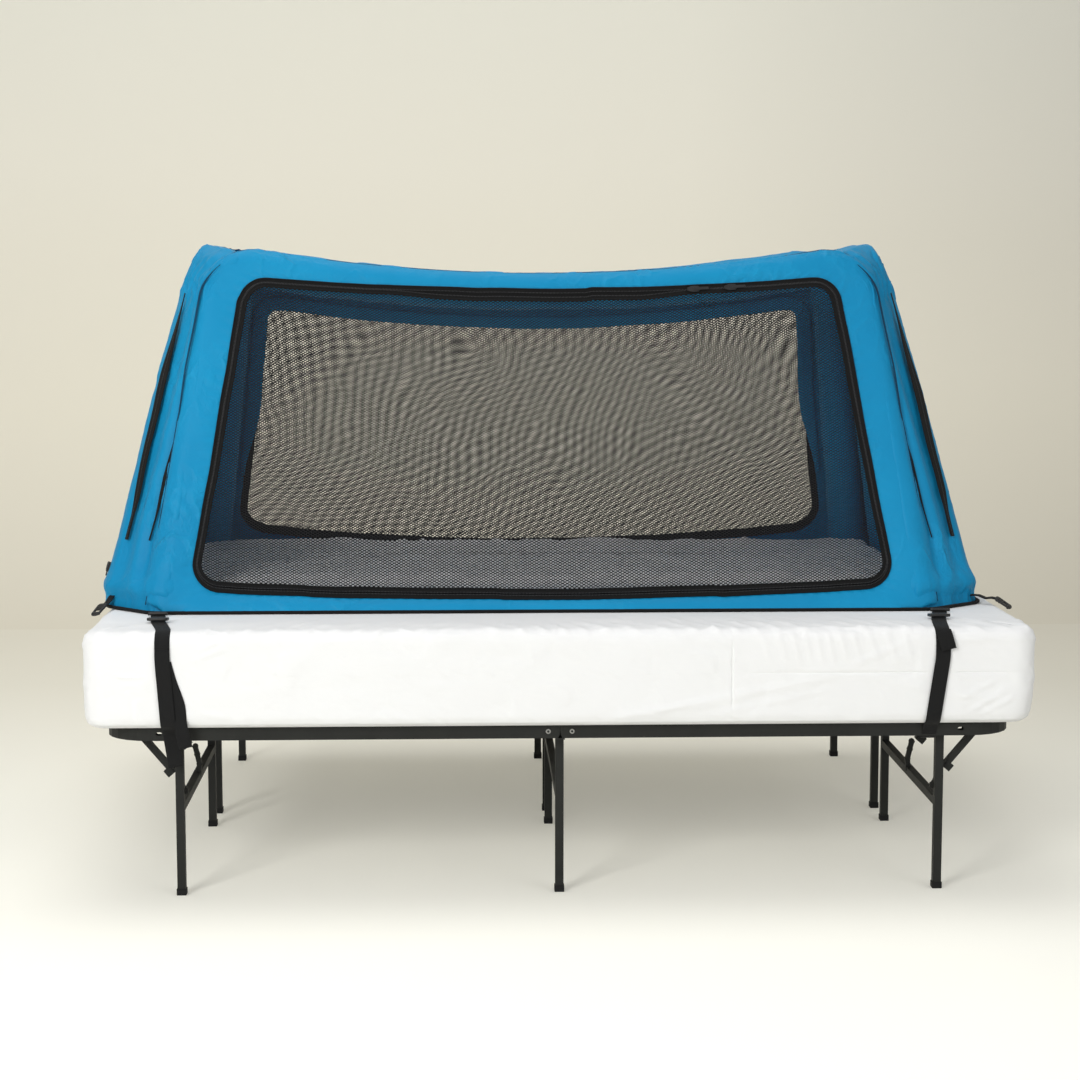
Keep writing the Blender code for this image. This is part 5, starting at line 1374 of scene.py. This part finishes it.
def strap(name, path, facing, body="root", replaces=(), width=STRAP_WIDTH, thickness=0.0020):
    """Webbing along a path of (x, distance out, z) points, mirrored to the back by facing."""
    line = resample(path, 0.007)
    for _ in range(3):
        line[1:-1] = (line[:-2] + 2 * line[1:-1] + line[2:]) / 4
    line[:, 1] *= facing
    heading = headings(line)
    across = unit(np.array([1.0, 0.0, 0.0]) - heading * heading[:, :1])
    out = unit(np.cross(heading, across))
    sweep(name, line, across, out, tape_profile(width, thickness), webbing, body=body, replaces=replaces)
    return line, across


def hold_down(end, facing, side):
    """The two lengths of one hold-down strap, with its sewn seams and hanging tail."""
    places = STRAP_PLACES[end]
    slide, edge, rail = places["slide"], places["edge"], places["rail"]
    bend = 0.030
    upper = [
        (places["sewn"], STRAP_SEWN, STRAP_REST),
        (slide, BUCKLE_Y, STRAP_REST + 0.0006),
        ((slide + edge) / 2, BUCKLE_Y + 0.05, STRAP_REST),
    ]
    for a in np.radians(np.arange(0, 91, 15)):
        y = STRAP_FRONT - bend + bend * math.sin(a)
        upper.append((edge, y, STRAP_REST - bend + bend * math.cos(a)))
    upper.append((edge, STRAP_FRONT, STRAP_SPLIT))
    line, across = strap(
        f"strap_upper_{side}_{end}", upper, facing, replaces=(f"strap_top_{side}_{end}",)
    )
    up = np.array([0.0, 0.0, 1.0])
    rows = [(line[2:9] + across[2:9] * shift + up * 0.0012, up, False) for shift in (-0.010, 0.010)]
    repeat_on_path(f"strap_seam_{side}_{end}", rows, STITCH_SPACING, STITCH, thread_black)
    slack = STRAP_FRONT + 0.0020
    lower = [
        (edge, STRAP_FRONT, STRAP_SPLIT),
        (edge, slack, 0.525),
        ((edge + rail) / 2, slack, 0.46),
        (rail, slack, 0.395),
        (rail, slack - 0.003, 0.384),
        (rail, RAIL_FRONT + 0.012, 0.3745),
        (rail, RAIL_FRONT, 0.362),
    ]
    lower += [(rail + x, RAIL_FRONT + y, z) for x, y, z in STRAP_ENDS[end]]
    strap(f"strap_lower_{side}_{end}", lower, facing, f"deck_{end}", (f"strap_{side}_{end}",))
    width, thickness = TAIL_SIZES[end]
    strap(f"strap_tail_{side}_{end}", STRAP_TAILS[end], facing, width=width, thickness=thickness)


def strap_slide(end, facing, side):
    """Ladder-lock slide on the strap, raised at its far side, and the keeper bar at the binding."""
    x = STRAP_PLACES[end]["slide"]
    corners = [(-0.0200, -0.014), (0.0200, -0.014), (0.0185, 0.016), (-0.0185, 0.016)]
    rim = resample(fillet(corners, 0.004, 5, closed=True), 0.003, closed=True)
    lift = 0.5905 + 0.12 * (rim[:, 1] + 0.014)
    line = np.column_stack([x + rim[:, 0], facing * (BUCKLE_Y + rim[:, 1]), lift])
    replaced = (f"strap_buckle_{side}_{end}",)
    round_tube(f"slide_rim_{side}_{end}", line, 0.0027, plastic, closed=True, replaces=replaced)
    bars = (
        (x, BUCKLE_Y - 0.013, 0.5916, 0.0034),
        (x, BUCKLE_Y + 0.001, 0.5930, 0.0030),
        (x, BUCKLE_Y + 0.015, 0.5952, 0.0034),
        (STRAP_PLACES[end]["keeper"], 0.5330, 0.5910, 0.0042),
    )
    for k, (middle, place, height, radius) in enumerate(bars):
        centre = (middle, facing * place, height)
        cross_bar(f"slide_bar_{side}_{end}_{k}", centre, (1.0, 0.0, 0.0), 0.0215, radius, 9, 10)


def corner_strap(end, facing, place):
    """Short webbing strap at a corner of the binding, ending in a plastic loop with four bars."""
    line = resample(CORNER_STRAPS[end], 0.003)
    line[:, 1] *= -facing
    heading = headings(line)
    lean = np.array([0.30 * end, 0.25 * facing, 1.0])
    out = unit(lean - heading * (heading @ lean)[:, None])
    across = np.cross(heading, out)
    sweep(f"corner_strap_{place}", line, across, out, tape_profile(0.017, 0.0022), webbing)
    tip, wide = line[-1], across[-1]
    down = unit(heading[-1] - np.array([0.0, 0.0, 0.45]))
    corners = [(-0.002, -0.0105), (0.036, -0.0085), (0.036, 0.0085), (-0.002, 0.0105)]
    shape = resample(fillet(corners, 0.005, 5, closed=True), 0.002, closed=True)
    loop = tip + np.outer(shape[:, 0], down) + np.outer(shape[:, 1], wide) + out[-1] * 0.0005
    round_tube(f"corner_loop_{place}", loop, 0.0028, plastic, closed=True)
    bars = ((0.002, 0.0040), (0.0085, 0.0040), (0.0145, 0.0032), (0.031, 0.0040))
    for k, (along, radius) in enumerate(bars):
        cross_bar(f"corner_bar_{place}_{k}", tip + down * along, wide, 0.0090, radius, 7, 8)


# Valve


def valve_body():
    """Moulded flange and neck of the air valve on the left beam."""
    low, high = (np.array(corner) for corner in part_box("valve_cap"))
    out = end_out(-1)
    base = (low + high) / 2 + np.array([0.0, 0.0, 0.0035]) - out * 0.0125
    profile = (
        (0.0, -0.004), (0.0165, -0.004), (0.0170, 0.0010), (0.0160, 0.0022), (0.0135, 0.0026),
        (0.0130, 0.0040), (0.0124, 0.0080), (0.0112, 0.0096), (0.0, 0.0098),
    )
    side = np.array([0.0, 1.0, 0.0])
    up = np.cross(out, side)
    count = 40
    points = []
    for a in turns_of(count):
        ray = side * math.cos(a) + up * math.sin(a)
        points += [base + ray * max(radius, 1e-5) + out * rise for radius, rise in profile]
    faces, _ = grid_faces(count, len(profile), closed_rows=True)
    mesh_piece("valve_body", points, faces, plastic, closed=True, merge=0.0001)


# Studio


def add_to_stage(name, data):
    thing = bpy.data.objects.new(name, data)
    bpy.context.scene.collection.objects.link(thing)
    return thing


def make_camera():
    data = bpy.data.cameras.new("camera")
    data.lens = CAMERA_LENS
    data.sensor_width = 36.0
    data.clip_end = 60.0
    camera = add_to_stage("camera", data)
    yaw, pitch = CAMERA_YAW, CAMERA_PITCH
    ahead = Vector((math.sin(yaw) * math.cos(pitch), math.cos(yaw) * math.cos(pitch), -math.sin(pitch)))
    right = Vector((math.cos(yaw), -math.sin(yaw), 0.0))
    turn = Matrix((right, right.cross(ahead), -ahead)).transposed()
    camera.matrix_world = Matrix.Translation(CAMERA_PLACE) @ turn.to_4x4()
    bpy.context.scene.camera = camera


def studio_paper(name):
    """Pale floor and backdrop with a painted gradient of light and shade, and painted shade towards the
    right; from behind it lets the view through.
    """
    look = Look(name, Roughness=0.9, Specular_IOR_Level=0.1, Emission_Strength=1.0)
    x, y, z = look.split(look.place())
    black = (0.0, 0.0, 0.0)
    ground = look.ramp(GROUND_TONES, ((y + 4.5) / 8.5).clamp())
    wall = look.ramp(WALL_TONES, (z / 3.0).clamp())
    tone = look.mix(z > 0.001, ground, wall)
    path = look.node("ShaderNodeLightPath", {})
    camera, glossy = look.others(path, "Is Camera Ray", "Is Glossy Ray")
    seen = look.mix((camera + glossy).clamp(), black, look.mix(PAPER_LIFT, black, tone))
    # Painted shade: the paper's lit colour grows darker towards the right.
    tone = look.mix(((x - 0.8) / 3.5).clamp(), tone, look.mix(0.60, black, tone))
    (behind,) = look.others(look.node("ShaderNodeNewGeometry", {}), "Backfacing")
    return look.feed(Base_Color=tone, Emission_Color=seen, Alpha=behind * -1.0 + 1.0)


def make_studio():
    """Cyclorama with a wide sweep, three soft boxes and an even sky."""
    profile = [(-SWEEP_HALF, 0.0), (SWEEP_BACK, 0.0)]
    for a in np.linspace(0.05, math.pi / 2, 14):
        profile.append((SWEEP_BACK + SWEEP_BEND * math.sin(a), SWEEP_BEND - SWEEP_BEND * math.cos(a)))
    profile.append((SWEEP_BACK + SWEEP_BEND, SWEEP_HIGH))
    faces, _ = grid_faces(len(profile), 2)
    mesh = bpy.data.meshes.new("studio_sweep")
    mesh.from_pydata([(x, y, z) for y, z in profile for x in (-SWEEP_HALF, SWEEP_HALF)], [], faces)
    mesh.update()
    if mesh.polygons[0].normal.z < 0:
        mesh.flip_normals()
    mesh.materials.append(studio_paper("studio_paper"))
    mesh.shade_smooth()
    add_to_stage("studio_sweep", mesh)
    for name, place, aim, size, power in LAMPS:
        data = bpy.data.lights.new(name, "AREA")
        data.shape = "SQUARE"
        data.size = size
        data.energy = power
        lamp = add_to_stage(name, data)
        lamp.location = place
        lamp.rotation_euler = (Vector(aim) - Vector(place)).to_track_quat("-Z", "Y").to_euler()
    world = bpy.data.worlds.new("studio_sky")
    world.use_nodes = True
    sky = world.node_tree.nodes["Background"]
    sky.inputs["Color"].default_value = (0.97, 0.98, 1.0, 1.0)
    sky.inputs["Strength"].default_value = SKY_STRENGTH
    bpy.context.scene.world = world
    bpy.context.scene.view_settings.view_transform = "Standard"


make_camera()
make_studio()

# Materials

BLUE = (0.004, 0.275, 0.520)
DEEP_BLUE = (0.003, 0.220, 0.440)
PALE_BLUE = (0.012, 0.340, 0.610)
STEEL = (0.012, 0.0125, 0.0108)
nylon = coated_nylon("blue_taffeta", BLUE, DEEP_BLUE, PALE_BLUE)
nylon_floor = coated_nylon("blue_floor_cloth", DEEP_BLUE, DEEP_BLUE, BLUE)
# Dark navy for painted shade: the stripe in each corner's crease and the darkened line of the beam seams.
crease_and_seam_shade = coated_nylon(
    "blue_crease_and_seam_shade", (0.002, 0.050, 0.110), (0.001, 0.030, 0.070), (0.003, 0.090, 0.180)
)
net = netting("black_net", (0.018, 0.018, 0.019))
tape = woven_tape("zip_tape_twill", (0.005, 0.005, 0.005), rib=0.0011)
coil_plastic = moulded_plastic("zip_coil", (0.030, 0.030, 0.032))
webbing = woven_tape("strap_webbing", (0.008, 0.008, 0.008))
thread_black = moulded_plastic("seam_thread", (0.030, 0.030, 0.030), rough=0.6)
plastic = moulded_plastic("buckle_plastic", (0.010, 0.010, 0.010))
steel = coated_steel("powder_coat", STEEL)
leg_steel = coated_steel("powder_coat_legs", STEEL, feet=True)
middle_steel = coated_steel("powder_coat_rivets", STEEL, rivets=True, feet=True)
cover = white_cloth("mattress_sheet", (0.88, 0.88, 0.87))
quilt = white_cloth("pad_cloth", (0.80, 0.80, 0.79), crease=0.006)


# Steel and plastic keep their CAD meshes; the nodes that other pieces replace stay out of sight

CAD_LOOKS = (
    (("middle_legs",), middle_steel),
    (("end_legs",), leg_steel),
    (("deck_frame", "brace", "unit_clip"), steel),
    (("strap_buckle", "valve_cap", "door_slider"), plastic),
    (("",), webbing),
)
for node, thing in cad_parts.items():
    finish = next(look for starts, look in CAD_LOOKS if node.startswith(starts))
    for slot in thing.material_slots:
        slot.material = finish


# Enclosure

for facing, name in FACINGS:
    arch_cover(name, side_axis(facing), wall_out(facing), 11 + facing, 0.6)
for end, name in ENDS:
    arch_cover(name, end_axis(end), end_out(end), 31 + end, 2.0)
    end_wall(f"end_wall_{name}", end, 41 + end)

for facing, side in FACINGS:
    for end, label in ENDS:
        place = f"{side}_{label}"
        corner = Corner(end, facing)
        corner_cover(f"corner_cover_{place}", corner, 101 + 3 * facing + end)
        outer_width, inner_width = STRIPE_WIDTHS[end]
        line, out = corner_stripe(f"corner_zip_{place}", corner, OUTER_STRIPE, outer_width, end, tape)
        corner_stripe(f"corner_tape_{place}", corner, INNER_STRIPE, inner_width, facing, tape)
        # Painted shade: a dark navy stripe along the corner's crease.
        corner_stripe(f"corner_crease_shade_{place}", corner, CREASE_STRIPE, 0.0034, facing, crease_and_seam_shade)
        teeth = [(line, out, False)]
        repeat_on_path(f"corner_teeth_{place}", teeth, TOOTH_SPACING, CORNER_TOOTH, coil_plastic)
        corner_strap(end, facing, place)

wall_strip("front", -1, 51, ("door_surround",))
wall_strip("back", 1, 61, ("window_surround",))
for facing, name, nodes, dip in ((-1, "door", ("door_zip",), DOOR_DIP), (1, "window", (), 0.0)):
    zip_loop(f"{name}_zip_outer", facing, outer=True)
    zip_loop(f"{name}_zip_inner", facing, outer=False, body=name, replaces=nodes, dip=dip)
    net_panel(name, facing, dip)

beam_seam("front", -1)
beam_seam("back", 1)
window_flap()
roof_net()
floor_and_binding()
valve_body()


# Mattresses and straps

mattress()
thin_mattress()
for facing, side in FACINGS:
    for _, end in ENDS:
        hold_down(end, facing, side)
        strap_slide(end, facing, side)
